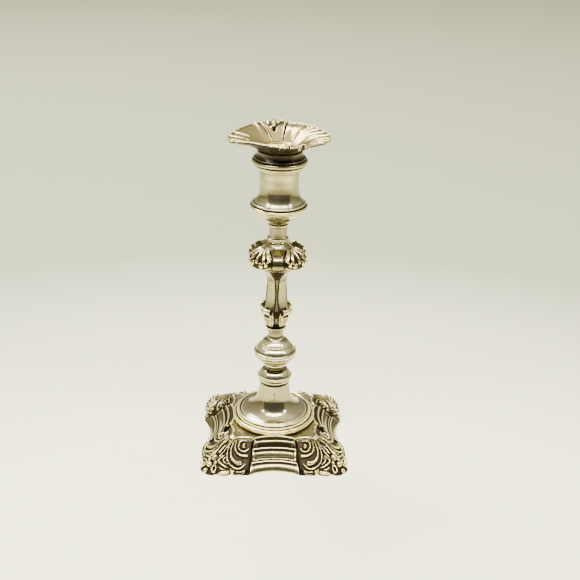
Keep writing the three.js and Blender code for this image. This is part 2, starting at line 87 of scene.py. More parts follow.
def aimCamera():
    yaw, pitch, roll = (math.radians(studio[key]) for key in ("yaw", "pitch", "roll"))
    ahead = Vector((math.sin(yaw) * math.cos(pitch), math.cos(yaw) * math.cos(pitch), -math.sin(pitch)))
    level = Vector((math.cos(yaw), -math.sin(yaw), 0))
    upright = level.cross(ahead)
    right = math.cos(roll) * level + math.sin(roll) * upright
    up = math.cos(roll) * upright - math.sin(roll) * level
    camera = addToScene("camera", bpy.data.cameras.new("camera"))
    camera.data.lens = studio["lens"]
    turn = Matrix((right, up, -ahead)).transposed().to_4x4()
    camera.matrix_world = Matrix.Translation(Vector(studio["cameraPlace"]) * millimetre) @ turn
    bpy.context.scene.camera = camera


def addNode(tree, kind, values=None, **settings):
    node = tree.nodes.new(kind)
    for key, value in settings.items():
        setattr(node, key, value)
    for key, value in (values or {}).items():
        if isinstance(value, bpy.types.NodeSocket):
            tree.links.new(value, node.inputs[key])
        else:
            node.inputs[key].default_value = value
    return node


def newMaterial(name):
    material = bpy.data.materials.new(name)
    material.use_nodes = True
    tree = material.node_tree
    return material, tree, tree.nodes["Principled BSDF"]


def mixColours(tree, factor, first, second):
    node = tree.nodes.new("ShaderNodeMix")
    node.data_type = "RGBA"
    for socket, value in ((node.inputs[0], factor), (node.inputs[6], first), (node.inputs[7], second)):
        if isinstance(value, bpy.types.NodeSocket):
            tree.links.new(value, socket)
        elif isinstance(value, (int, float)):
            socket.default_value = value
        else:
            socket.default_value = (*value, 1)
    return node.outputs[2]


def remap(tree, value, low, high, toLow=0.0, toHigh=1.0):
    values = {"Value": value, "From Min": low, "From Max": high, "To Min": toLow, "To Max": toHigh}
    return addNode(tree, "ShaderNodeMapRange", values).outputs[0]


def combine(tree, operation, *values):
    return addNode(tree, "ShaderNodeMath", dict(enumerate(values)), operation=operation).outputs[0]


def noise(tree, coordinates, scale, detail=3.0):
    values = {"Vector": coordinates, "Scale": scale, "Detail": detail}
    return addNode(tree, "ShaderNodeTexNoise", values).outputs["Fac"]


def objectCoordinates(tree, stretch=(1, 1, 1)):
    place = addNode(tree, "ShaderNodeTexCoord").outputs["Object"]
    return addNode(tree, "ShaderNodeMapping", {"Vector": place, "Scale": stretch}).outputs[0]


def addBump(tree, shader, height, strength, distance):
    bump = addNode(tree, "ShaderNodeBump", {"Strength": strength, "Distance": distance, "Height": height})
    tree.links.new(bump.outputs[0], shader.inputs["Normal"])


def meshFrom(bm, name):
    mesh = bpy.data.meshes.new(name)
    bm.to_mesh(mesh)
    bm.free()
    return mesh


def addToScene(name, data):
    thing = bpy.data.objects.new(name, data)
    bpy.context.scene.collection.objects.link(thing)
    return thing


def makeFloor():
    bm = bmesh.new()
    bmesh.ops.create_circle(bm, cap_ends=True, segments=96, radius=studio["floorReach"])
    floor = addToScene("floor", meshFrom(bm, "floor"))
    material, tree, shader = newMaterial("paleCloth")
    place = addNode(tree, "ShaderNodeTexCoord").outputs["Object"]
    # painted light: a pool of light round the middle, fading to painted shade farther off
    distance = addNode(tree, "ShaderNodeVectorMath", {0: place, 1: studio["floorMiddle"]},
                       operation="DISTANCE").outputs["Value"]
    far = remap(tree, distance, *studio["floorFade"])
    colour = mixColours(tree, far, studio["floorNear"], studio["floorFar"])
    # painted shadow towards the front, for the silver to mirror
    forward = addNode(tree, "ShaderNodeSeparateXYZ", {0: place}).outputs["Y"]
    colour = mixColours(tree, remap(tree, forward, *studio["frontFade"]), colour, studio["floorFront"])
    tree.links.new(colour, shader.inputs["Base Color"])
    shader.inputs["Roughness"].default_value = studio["clothRoughness"]
    shader.inputs["Specular IOR Level"].default_value = 0.1
    floor.data.materials.append(material)


def addLamp(name, width, depth, place, watts):
    light = bpy.data.lights.new(name, "AREA")
    light.shape = "RECTANGLE"
    light.size, light.size_y = width, depth
    light.energy = watts
    lamp = addToScene(name, light)
    lamp.location = place
    lamp.rotation_euler = (-Vector(place)).to_track_quat("-Z", "Y").to_euler()


def makeCard():
    # a dark card bent round the front: polished silver needs something dark to mirror
    card = studio["card"]
    half = math.radians(card["halfTurn"])
    bm = bmesh.new()
    foot = bm.verts.new((-card["radius"] * math.sin(half), -card["radius"] * math.cos(half), card["low"]))
    head = bm.verts.new((foot.co.x, foot.co.y, card["high"]))
    edge = bm.edges.new((foot, head))
    bmesh.ops.spin(bm, geom=[foot, head, edge], cent=(0, 0, 0), axis=(0, 0, 1), angle=2 * half, steps=24)
    stand = addToScene("darkCard", meshFrom(bm, "darkCard"))
    stand.visible_camera = stand.visible_shadow = stand.visible_diffuse = False
    material, _, shader = newMaterial("blackCloth")
    shader.inputs["Base Color"].default_value = card["colour"]
    shader.inputs["Roughness"].default_value = studio["clothRoughness"]
    stand.data.materials.append(material)


def makeRoom():
    world = bpy.data.worlds.new("room")
    bpy.context.scene.world = world
    world.use_nodes = True
    tree = world.node_tree
    direction = addNode(tree, "ShaderNodeTexCoord").outputs["Generated"]
    height = addNode(tree, "ShaderNodeSeparateXYZ", {0: direction}).outputs["Z"]
    ramp = addNode(tree, "ShaderNodeValToRGB", {0: height}).color_ramp
    for _ in studio["room"][2:]:
        ramp.elements.new(0.5)
    for element, (place, colour) in zip(ramp.elements, studio["room"]):
        element.position = place
        element.color = (*colour, 1)
    background = tree.nodes["Background"]
    tree.links.new(tree.nodes["Color Ramp"].outputs[0], background.inputs[0])
    background.inputs[1].default_value = studio["roomStrength"]


aimCamera()
makeFloor()
makeCard()
makeRoom()
for lamp in studio["lamps"]:
    addLamp(*lamp)
print("studio ready")


# finishes

recess = {"oxide": (0.026, 0.0185, 0.010), "deep": (0.017, 0.012, 0.0065)}  # in hollows, and in the deepest

# ridge is a painted highlight: a bright warm colour laid on proud edges and convex faces
finishes = {  # patches: how the warm clouds spread; tarnish: how much stain lies on the open face
    "plainSilver": {  # burnished sheet
        **recess, "metal": (0.34, 0.305, 0.18), "warm": (0.28, 0.235, 0.115), "ridge": (0.84, 0.75, 0.42),
        "patches": (0.40, 0.70), "roughness": (0.10, 0.42), "tarnish": 0.0, "pits": 0.12,
    },
    "wornSilver": {  # the same, duller and painted darker, on the knops and the socket: painted shade
        **recess, "metal": (0.215, 0.19, 0.108), "warm": (0.175, 0.145, 0.066), "ridge": (0.70, 0.62, 0.34),
        "patches": (0.40, 0.70), "roughness": (0.14, 0.42), "tarnish": 0.0, "pits": 0.12,
    },
    "castSilver": {  # stamped and chased parts, warmer
        **recess, "metal": (0.27, 0.23, 0.112), "warm": (0.21, 0.17, 0.066), "ridge": (0.95, 0.82, 0.38),
        "patches": (0.35, 0.65), "roughness": (0.12, 0.5), "tarnish": 0.04, "pits": 0.1,
    },
    "dullSilver": {  # the same, duller and painted darker as painted shade, on the back corners and the ring under the rim
        **recess, "metal": (0.17, 0.14, 0.07), "warm": (0.13, 0.10, 0.04), "ridge": (0.50, 0.43, 0.21),
        "patches": (0.35, 0.65), "roughness": (0.18, 0.5), "tarnish": 0.04, "pits": 0.1,
    },
    "goldenSilver": {  # the loose pan and the ring under the vase, washed with a little gold
        **recess, "metal": (0.38, 0.32, 0.145), "warm": (0.33, 0.25, 0.09), "ridge": (0.95, 0.82, 0.38),
        "patches": (0.35, 0.65), "roughness": (0.10, 0.45), "tarnish": 0.0, "pits": 0.08,
    },
    "tarnishedSilver": {  # the band under the pan: tarnish, and painted shade under the pan that makes it far darker
        **recess, "metal": (0.09, 0.07, 0.048), "warm": (0.04, 0.03, 0.02), "ridge": (0.3, 0.25, 0.15),
        "oxide": (0.012, 0.009, 0.006), "patches": (0.35, 0.6), "roughness": (0.28, 0.6),
        "tarnish": 0.3, "pits": 0.25,
    },
}

silverGrain = {
    "cloudScale": 55.0, "grainScale": 420.0, "pitScale": 330.0, "rubScale": 900.0,
    "rubStretch": (1, 1, 0.18),  # rubbed lengthwise
    "metallic": 0.96, "specular": 0.1,
    "ridgeRange": (0.78, 1.35), "stainRange": (0.10, 0.55), "deepRange": (0.85, 1.2),  # over the hollow value
    "grainShare": 0.5, "grainMiddle": 0.25,
    "stainWear": 1.4, "wearRange": (0.35, 1.9), "pitRange": (0.16, 0.30),
    "bumpStrength": 0.12, "bumpDistance": 0.0004,
}


def silver(name):
    look, grainy = finishes[name], silverGrain
    material, tree, shader = newMaterial(name)
    place = objectCoordinates(tree)
    hollow = addNode(tree, "ShaderNodeAttribute", attribute_name="hollow").outputs["Fac"]
    clouds = noise(tree, place, grainy["cloudScale"], 5.0)
    grain = noise(tree, place, grainy["grainScale"], 4.0)
    colour = mixColours(tree, remap(tree, clouds, *look["patches"]), look["metal"], look["warm"])
    # painted highlight: proud places, away from the hollows, take the bright ridge colour
    paintedHighlight = remap(tree, combine(tree, "SUBTRACT", clouds, hollow), *grainy["ridgeRange"])
    colour = mixColours(tree, paintedHighlight, colour, look["ridge"])
    spread = combine(tree, "MULTIPLY_ADD", grain, grainy["grainShare"], look["tarnish"] - grainy["grainMiddle"])
    stain = remap(tree, combine(tree, "ADD", hollow, spread), *grainy["stainRange"])
    colour = mixColours(tree, stain, colour, look["oxide"])
    colour = mixColours(tree, remap(tree, hollow, *grainy["deepRange"]), colour, look["deep"])
    tree.links.new(colour, shader.inputs["Base Color"])
    shader.inputs["Metallic"].default_value = grainy["metallic"]
    shader.inputs["Specular IOR Level"].default_value = grainy["specular"]
    wear = combine(tree, "MULTIPLY_ADD", stain, grainy["stainWear"], clouds)
    tree.links.new(remap(tree, wear, *grainy["wearRange"], *look["roughness"]), shader.inputs["Roughness"])
    dents = addNode(tree, "ShaderNodeTexVoronoi", {"Vector": place, "Scale": grainy["pitScale"]})
    pits = remap(tree, dents.outputs["Distance"], *grainy["pitRange"])
    rubbed = noise(tree, objectCoordinates(tree, grainy["rubStretch"]), grainy["rubScale"], 2.0)
    surface = combine(tree, "MULTIPLY_ADD", pits, look["pits"], rubbed)
    addBump(tree, shader, surface, grainy["bumpStrength"], grainy["bumpDistance"])
    return material


plainSilver, wornSilver, castSilver, dullSilver, goldenSilver, tarnishedSilver = map(silver, finishes)
print("finishes ready")


# shared shaping

def curveThrough(points, gap):
    # a smooth line through the points, a step of about gap apart; a repeated point is a corner
    runs, run = [], []
    for point in points:
        if run and tuple(point) == tuple(run[-1]):
            runs.append(run)
            run = []
        run.append(point)
    runs.append(run)
    pieces = []
    for run in runs:
        p = np.array(run, float)
        if len(p) < 2:
            continue
        chords = np.linalg.norm(np.diff(p[:, :2], axis=0), axis=1)[:, None]
        slopes = np.diff(p, axis=0) / chords
        inner = (slopes[:-1] * chords[1:] + slopes[1:] * chords[:-1]) / (chords[:-1] + chords[1:])
        tangents = np.vstack([slopes[:1], inner, slopes[-1:]])
        for i, chord in enumerate(chords[:, 0]):
            count = max(1, round(chord / gap))
            t = (np.arange(count) / count)[:, None]
            pieces.append((2 * t**3 - 3 * t**2 + 1) * p[i] + (t**3 - 2 * t**2 + t) * chord * tangents[i]
                          + (3 * t**2 - 2 * t**3) * p[i + 1] + (t**3 - t**2) * chord * tangents[i + 1])
    pieces.append(np.array(points[-1:], float))
    return np.vstack(pieces)


def markHollows(mesh, depth, passes=(6, 40)):
    # how far each point lies under (+) or over (-) its surroundings, in shares of depth
    count = len(mesh.vertices)
    place = np.empty(count * 3)
    mesh.vertices.foreach_get("co", place)
    place = place.reshape(-1, 3)
    outward = np.empty(count * 3)
    mesh.vertices.foreach_get("normal", outward)
    outward = outward.reshape(-1, 3)
    ends = np.empty(len(mesh.edges) * 2, int)
    mesh.edges.foreach_get("vertices", ends)
    a, b = ends[0::2], ends[1::2]
    degree = np.maximum(np.bincount(ends, minlength=count), 1)
    hollow, ground = np.zeros(count), np.zeros(count)
    if "ground" in mesh.attributes:
        mesh.attributes["ground"].data.foreach_get("value", ground)
    smooth = place.copy()
    for step in range(1, max(passes) + 1):
        for axis in range(3):
            near = np.bincount(a, smooth[b, axis], count) + np.bincount(b, smooth[a, axis], count)
            smooth[:, axis] = 0.4 * smooth[:, axis] + 0.6 * near / degree
        if step in passes:
            hollow += ((smooth - place) * outward).sum(1) / (depth * millimetre)
    hollow = np.where(ground > 0.3, np.maximum(hollow, 0), hollow)
    layer = mesh.attributes.new("hollow", "FLOAT", "POINT")
    layer.data.foreach_set("value", np.clip(hollow + ground, -1.5, 1.5))


def finishPiece(bm, name, nodes, material, body="stick", depth=0.35, sharp=50):
    bmesh.ops.remove_doubles(bm, verts=bm.verts, dist=mergeGap)
    bmesh.ops.recalc_face_normals(bm, faces=bm.faces)
    bmesh.ops.scale(bm, vec=(millimetre,) * 3, verts=bm.verts)
    mesh = meshFrom(bm, name)
    mesh.shade_smooth()
    mesh.set_sharp_from_angle(angle=math.radians(sharp))
    markHollows(mesh, depth)
    return placePiece(mesh, name, nodes, material, body)


def placePiece(mesh, name, nodes, material, body="stick"):
    mesh.materials.clear()
    mesh.materials.append(material)
    piece = addToScene(name, mesh)
    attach(piece, body)
    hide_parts(*nodes)
    return piece


def turnCopies(first, copies):
    # the piece again at the other three quarters, each with its own name, node and material
    for i, (name, node, material) in enumerate(copies):
        mesh = first.data.copy()
        mesh.transform(Matrix.Rotation((i + 1) * quarterTurn, 4, "Z"))
        placePiece(mesh, name, [node], material)


def shapeGrid(columns, rows, place, relief=None, lowest=None, facing=1):
    # a grid whose points go where place(across, along) says, both 0 to 1, plus a relief off its surface;
    # relief gives its height and how much of the dark ground shows, 0 to 1; facing -1 is for a grid whose
    # across and along run the other way round
    bm = bmesh.new()
    bmesh.ops.create_grid(bm, x_segments=columns, y_segments=rows, size=0.5)
    flat = np.array([vert.co[:2] for vert in bm.verts]) + 0.5
    across, along = flat[:, 0], flat[:, 1]
    points = place(across, along)
    if relief is not None:
        nudge = 0.002
        sideways = place(across + nudge, along) - place(across - nudge, along)
        onwards = place(across, along + nudge) - place(across, along - nudge)
        outward = facing * np.cross(sideways, onwards)
        outward /= np.maximum(np.linalg.norm(outward, axis=1), 1e-9)[:, None]
        height, ground = relief(across, along, points)
        points = points + outward * height[:, None]
        layer = bm.verts.layers.float.new("ground")
        for vert, share in zip(bm.verts, ground):
            vert[layer] = share
    if lowest is not None:
        points[:, 2] = np.maximum(points[:, 2], lowest)
    for vert, point in zip(bm.verts, points):
        vert.co = point
    return bm


def readTable(table, value):
    keys, values = zip(*table)
    return np.interp(value, keys, values)


def readCurve(table, value):
    line = curveThrough(table, 0.4)
    return np.interp(value, line[:, 0], line[:, 1])


def followRows(line, share):
    # a line's two columns at a share of its rows
    row = share * (len(line) - 1)
    return [np.interp(row, range(len(line)), line[:, i]) for i in (0, 1)]


def followLength(line, share):
    # a line's two columns at a share of its length
    lengths = np.concatenate([[0], np.cumsum(np.linalg.norm(np.diff(line, axis=0), axis=1))])
    return [np.interp(share * lengths[-1], lengths, line[:, i]) for i in (0, 1)]


def roundAxis(radius, angle, z):
    return np.column_stack([radius * np.cos(angle), radius * np.sin(angle), z])


def mirrored(points):
    return [(p[1], p[0], *p[2:]) for p in points]


def smoothStep(value, low, high):
    t = np.clip((value - low) / (high - low), 0, 1)
    return t * t * (3 - 2 * t)


def strokeHeights(across, along, strokes, gap=0.4):
    # height of rounded strokes at flat places; a stroke's points are (across, along, half width, height)
    height = np.zeros(len(across))
    for stroke in strokes:
        line = curveThrough(stroke, gap)
        reach = line[:, 2].max()
        near = ((across > line[:, 0].min() - reach) & (across < line[:, 0].max() + reach)
                & (along > line[:, 1].min() - reach) & (along < line[:, 1].max() + reach))
        index = np.nonzero(near)[0]
        if not len(index):
            continue
        gaps = np.hypot(across[index, None] - line[None, :, 0], along[index, None] - line[None, :, 1])
        share = gaps / line[None, :, 2]
        nearest = share.argmin(1)
        rounded = np.sqrt(np.clip(1 - share[np.arange(len(index)), nearest] ** 2, 0, 1))
        height[index] = np.maximum(height[index], rounded * line[nearest, 3])
    return height


def closeUnder(bm, z, inwards, middle):
    # takes the open edge down and in, and closes the underside flat
    edge = [e for e in bm.edges if e.is_boundary]
    made = bmesh.ops.extrude_edge_only(bm, edges=edge)["geom"]
    verts = [g for g in made if isinstance(g, bmesh.types.BMVert)]
    edges = [g for g in made if isinstance(g, bmesh.types.BMEdge)]
    for vert in verts:
        pull = (Vector(middle) - vert.co.xy).normalized() * inwards
        vert.co = (vert.co.x + pull.x, vert.co.y + pull.y, z)
    bmesh.ops.contextual_create(bm, geom=[e for e in edges if e.is_boundary])
    bmesh.ops.triangulate(bm, faces=[f for f in bm.faces if len(f.verts) > 4])


def closeEnds(bm):
    bmesh.ops.holes_fill(bm, edges=[e for e in bm.edges if e.is_boundary], sides=0)
    bmesh.ops.triangulate(bm, faces=[f for f in bm.faces if len(f.verts) > 4])


def spinOutline(points, turns):
    bm = bmesh.new()
    verts = [bm.verts.new((r, 0, z)) for r, z in points]
    edges = [bm.edges.new(pair) for pair in zip(verts, verts[1:] + verts[:1]) if pair[0].co != pair[1].co]
    bmesh.ops.spin(bm, geom=verts + edges, cent=(0, 0, 0), axis=(0, 0, 1), angle=2 * math.pi,
                   steps=turns, use_merge=True, use_duplicate=False)
    return bm


def turnPiece(node, profile, bore, name=None, finish=None, slot="silver_plain", turns=144, seam=0.45,
              reshape=None):
    # profile points are (radius, height over the node's bottom); the bore closes the wall, and seam is how
    # far the dark of the joints reaches
    bottom, top = nodeHeights(node)
    stretch = (top - bottom) / max(z for _, z in profile)
    outside = [(r, bottom + z * stretch) for r, z in profile]
    loop = [(bore, outside[0][1]), *curveThrough(outside, 0.3), (bore, outside[-1][1])]
    bm = spinOutline(loop, turns)
    bmesh.ops.remove_doubles(bm, verts=bm.verts, dist=mergeGap)
    ground = bm.verts.layers.float.new("ground")
    for vert in bm.verts:
        ends = min(abs(vert.co.z - outside[0][1]), abs(outside[-1][1] - vert.co.z))
        vert[ground] = 0.9 * max(0.0, 1 - ends / seam)
    if reshape:
        reshape(bm, ground)
    finishPiece(bm, name or camelName(node), [node], finish or wornSilver, depth=0.25)


# base

lowestPoint = 0.05  # the ornament stops short of the floor
otherQuarters = ("back_right", "back_left", "front_left")

sideOutline = {
    "profile": [  # reach at the middle of a side, and height; a repeated point is a sharp bend
        (30.5, 19), (30.9, 19.35), (31.5, 19.2), (31.9, 18.5), (32.3, 18.1), (33.6, 17.8), (34.5, 17.5),
        (34.9, 17.6), (35.4, 18), (36, 17.7), (36.3, 17), (36.6, 15.8), (37.2, 14.4), (38, 13.4),
        (38.2, 13.5), (38.8, 13.9), (39.4, 13.4), (39.6, 12.6), (39.9, 12.1), (41, 11.2), (42.4, 9.8),
        (43.5, 8.5), (44.2, 7.9), (44.7, 7.7), (44.95, 7.2), (45.05, 6.6), (45.35, 6.4),
        (45.8, 6.8), (46.4, 6.5), (46.7, 5.7), (46.9, 5.1), (47.8, 4.5), (49.4, 3.1), (50.6, 1.7), (51.2, 0.9),
        (51.2, 0.9), (51.2, 0)],
    "dip": [(0, 4.4), (5.5, 3.5), (7.3, 2.6), (17.5, 2.5), (19, 3.4)],  # height, extra reach at its ends
    "half": [(0, 18.5), (5.5, 17.9), (7.3, 16.4), (13.3, 16.6), (17.5, 15.5), (19, 15.1)],  # half length
    "panels": [  # near and far reach, depth, half width as a share of the side
        (31.9, 34.6, 0.4, 0.9), (36.3, 37.9, 0.4, 0.9), (39.8, 44.3, 0.55, 0.87)],
    "borderLine": (4.2, 0.3),  # height of the engraved line on the foot, and its depth
    "dark": [(30, 0), (31.6, 0), (32.2, 0.8), (33.2, 0.5), (34.2, 0.05), (36, 0), (36.4, 0.8), (37.4, 0.9),
             (38.1, 0.3), (38.6, 0), (39.3, 0.1), (39.6, 1), (39.9, 0.5), (40.3, 0), (43.6, 0), (44, 0.5),
             (44.3, 0.1), (44.6, 0.1), (45, 1), (45.4, 0.9), (45.8, 0), (46.3, 0),
             (46.8, 0.9), (47.3, 0.5), (48, 0.05), (52, 0.05)],  # reach, how dark
    "tuck": 1.22,  # the wall runs on under the corners to this share of the half length
    "stepBack": 3.2, "endRound": 0.35, "endDark": 1.2,
    "columns": 200,
}
sideProfile = curveThrough(sideOutline["profile"], 0.28)


def placeOnSide(across, along):
    reach, z = followRows(sideProfile, along)
    share = (2 * across - 1) * sideOutline["tuck"]  # past 1 the wall steps back and runs on under the corner
    x = readTable(sideOutline["half"], z) * share
    under = sideOutline["stepBack"] * smoothStep(np.abs(share), 1.0, 1.035) * smoothStep(z, 0.2, 2.5)
    y = -(reach + readTable(sideOutline["dip"], z) * np.minimum(share**2, 1.1) - under)
    return np.column_stack([x, y, z - 0.3 * under])


def reliefOnSide(across, along, points):
    share = np.abs(2 * across - 1) * sideOutline["tuck"]
    z = points[:, 2]
    sunk = np.zeros(len(z))
    reach = followRows(sideProfile, along)[0]
    for near, far, depth, half in sideOutline["panels"]:
        inside = smoothStep(reach, near - 0.1, near + 0.3) * (1 - smoothStep(reach, far - 0.3, far + 0.1))
        sunk = np.maximum(sunk, depth * inside * (1 - smoothStep(share, half, half + 0.045)))
    lineHeight, lineDepth = sideOutline["borderLine"]
    turnedDown = smoothStep(share, 0.9, 0.925) * (1 - smoothStep(share, 0.94, 0.965)) * (z < lineHeight)
    sunk = np.maximum(sunk, lineDepth * turnedDown)
    endRound = sideOutline["endRound"] * smoothStep(share, 0.95, 1.0) * (z < 18.5)
    inFrame = 1 - smoothStep(share, 0.93, 0.97)
    dark = np.maximum(0.7 * readTable(sideOutline["dark"], reach) * (0.35 + 0.65 * inFrame), turnedDown)
    return -(sunk + endRound), np.maximum(dark, sideOutline["endDark"] * smoothStep(share, 0.99, 1.02))


def makeSides():
    bm = shapeGrid(sideOutline["columns"], len(sideProfile) - 1, placeOnSide, reliefOnSide, lowestPoint, -1)
    closeUnder(bm, 0.0, 2.0, (0, 0))
    front = finishPiece(bm, "baseSideFront", ["base_shell"], castSilver, sharp=60)
    turnCopies(front, [(name, "base_shell", castSilver) for name in
                                       ("baseSideRight", "baseSideBack", "baseSideLeft")])


makeSides()
print("base sides made")

cornerPlan = {  # one corner, x to the right and y to the front, both outwards, same both sides of its diagonal
    "inner": [(16.4, 33.4), (18.2, 32.4), (21.5, 31.5), (26, 31.7), (29.8, 33), (31.6, 32.9), (32.3, 32.3)],
    "outer": [(19.3, 53), (20.6, 54.9), (23.5, 55.6), (26.8, 55.9), (30.4, 55.4), (32.6, 54), (34.2, 55.2),
              (37, 56.2), (40.5, 56), (42.9, 54.9), (44.2, 54.4), (45.6, 55.6), (48, 55.8),
              (50.6, 54.8), (52.2, 53.2), (52.7, 52.7)],
    "surface": [(33, 18.6), (36, 17.3), (40, 14.4), (44, 11), (48, 7.6), (52, 4.6), (54.5, 2.2), (56.5, 0)],
    "square": 10,  # how tightly the surface bends round the diagonal
    "floorDepth": 1.2,  # the ground between the strokes lies this far under the surface
    "gully": 1.2, "edgeDark": 1.2,  # along the edges beside the sides
    "smoothing": 0.35, "smoothings": 2,
    "strokes": [  # x, y, half width, height
        # c-scroll round a ball
        [(21, 35.9, .45, 1.4), (23.4, 35.7, .55, 2.1), (25.8, 36.5, .6, 2.4), (27.2, 38.9, .6, 2.5),
         (26.4, 41.3, .6, 2.5), (23.8, 42.5, .6, 2.4), (21.2, 42.1, .6, 2.3), (19.6, 40.8, .5, 2)],
        [(23.2, 39, 1.8, 3.4), (23.21, 39.1, 1.8, 3.4)],
        # flutes that grow from the root and turn in towards the side
        [(27.8, 33.2, .35, .2), (29, 37, .5, 1.9), (29.7, 40, .6, 2.2), (28.9, 42.6, .7, 2.4),
         (26.6, 44.3, .85, 2.5), (23.8, 45, 1, 2.5), (21.6, 45, 1.1, 2.4), (20.6, 44.9, 1.1, 2.2)],
        [(29.2, 33.2, .35, .2), (31.2, 37.6, .5, 2.2), (32.6, 41.2, .7, 2.6), (32.8, 44.2, 1, 2.9),
         (31.8, 46.8, 1.25, 3.2), (29.8, 48.6, 1.6, 3.5), (27.6, 49.3, 1.85, 3.7), (25.6, 49.4, 1.9, 3.6)],
        [(30.4, 33.2, .35, .2), (33.3, 37.4, .42, 1.9), (35, 41.2, .45, 2.2), (35.7, 45, .5, 2.4),
         (35.1, 48.2, .5, 2.5), (33, 50.8, .55, 2.6), (29.9, 52.4, .6, 2.7), (26.4, 52.7, .6, 2.7),
         (23.7, 51.6, .55, 2.5), (22, 50, .5, 2.3)],
        [(31.6, 33.4, .35, .2), (34.2, 37.2, .45, 1.8), (36.8, 40.6, .5, 2.2), (39.3, 43.2, .6, 2.4),
         (41, 44.8, .8, 2.5), (41.8, 45.8, .8, 2.3)],
        # outer leaves
        [(38, 44.4, .5, 1.6), (40.2, 45.8, .7, 2.1), (41.9, 47.4, .9, 2.6), (40.4, 49.3, .9, 2.5),
         (38, 50.9, .7, 2.1), (35.4, 52, .5, 1.6)],
        [(37, 45.6, .4, 1.4), (38.6, 47.2, .55, 1.8), (37.4, 48.8, .55, 1.8), (35.9, 49.8, .4, 1.4)],
        [(43.9, 48, 1.4, 2.9), (44.5, 48.5, 1.4, 2.9)],
        [(44, 50.6, .6, 2), (45.2, 50.2, .65, 2.4), (46.4, 51.2, .65, 2.6), (46.8, 52.8, .65, 2.6),
         (46.2, 54, .6, 2.5), (44.8, 53.8, .6, 2.3), (44, 52.6, .6, 2.2), (43.8, 51.2, .6, 2)],
        [(42, 54.5, .7, 1.8), (39.4, 54.8, 1, 2.6), (36.6, 54.7, 1, 2.6), (34.4, 54.1, .7, 1.8)],
        [(41.4, 51.6, .5, 1.7), (39.8, 52.6, .6, 1.9), (37.4, 53.1, .45, 1.6)],
        # beads under the rim line
        [(32.6, 53, .7, 1.6), (31.2, 54.2, .8, 1.7)],
        [(28.4, 54.7, 1, 1), (25.4, 54.9, 1, 1), (22.8, 54, .9, 1)],
    ],
    "diagonal": [  # strokes on the diagonal itself
        [(35.4, 35.4, .3, .2), (37.6, 37.6, .5, 1.2), (39.8, 39.8, .8, 1.9), (41.4, 41.4, .9, 2.1)],
        [(44.3, 44.3, 2.2, 4), (44.9, 44.9, 2.2, 4)],
        [(48.3, 48.3, 2, 3.8), (48.6, 48.6, 2, 3.8)],
        [(51.5, 51.5, 1.7, 3.4), (51.6, 51.6, 1.7, 3.4)],
    ],
    "middle": (38, -38), "columns": 360, "rows": 140,
}


def makeCorners():
    plan = cornerPlan
    inner, outer = [curveThrough(plan[key] + mirrored(plan[key])[::-1][1:], 0.3) for key in ("inner", "outer")]
    strokes = plan["strokes"] + [mirrored(stroke) for stroke in plan["strokes"]] + plan["diagonal"]

    def place(across, onwards):
        (x0, y0), (x1, y1) = followLength(inner, across), followLength(outer, across)
        out = np.clip(onwards, 0, 1)
        x, y = x0 + (x1 - x0) * out, y0 + (y1 - y0) * out
        norm = (x**plan["square"] + y**plan["square"]) ** (1 / plan["square"])
        z = readTable(plan["surface"], norm) * (1 - smoothStep(out, 0.93, 1.0))
        return np.column_stack([x, -y, z])

    def relief(across, onwards, points):
        x, y = points[:, 0], -points[:, 1]
        raised = strokeHeights(x, y, strokes)
        sideways = np.minimum(across, 1 - across)
        gully = plan["gully"] * (1 - smoothStep(sideways, 0.0, 0.014)) * (1 - smoothStep(onwards, 0.9, 0.97))
        ground = -plan["floorDepth"] * smoothStep(onwards, 0.01, 0.07) - gully
        fade = smoothStep(onwards, 0.0, 0.03) * (1 - smoothStep(onwards, 0.965, 1.0))
        dark = 0.8 * (1 - smoothStep(raised, 0.1, 1.1)) * smoothStep(onwards, 0.05, 0.2)
        dark = dark * (1 - 0.5 * smoothStep(onwards, 0.9, 0.97))
        edge = plan["edgeDark"] * (1 - smoothStep(sideways, 0.04, 0.075)) * (1 - smoothStep(raised, 0.2, 1.0))
        return (ground + raised) * fade, np.maximum(dark, edge * smoothStep(onwards, 0.05, 0.2))

    bm = shapeGrid(plan["columns"], plan["rows"], place, relief, lowestPoint, -1)
    for _ in range(plan["smoothings"]):
        bmesh.ops.smooth_vert(bm, verts=[v for v in bm.verts if not v.is_boundary], factor=plan["smoothing"],
                              use_axis_x=True, use_axis_y=True, use_axis_z=True)
    closeUnder(bm, 0.0, 1.5, plan["middle"])
    first = finishPiece(bm, "cornerShellFrontRight", ["corner_shell_front_right"], castSilver,
                        depth=0.75, sharp=80)
    nodes = [f"corner_shell_{quarter}" for quarter in otherQuarters]
    turnCopies(first, zip(map(camelName, nodes), nodes, (dullSilver, dullSilver, castSilver)))


makeCorners()
print("corner shells made")

plate = {
    "height": 19.0, "wellRadius": 25.0, "underside": 16.5, "columns": 520, "rows": 26,
    "levels": [(0, -0.25), (0.02, 0.25), (0.06, 0.35), (0.1, -0.1), (0.14, -0.45), (0.5, -0.75), (1, -0.3)],
}


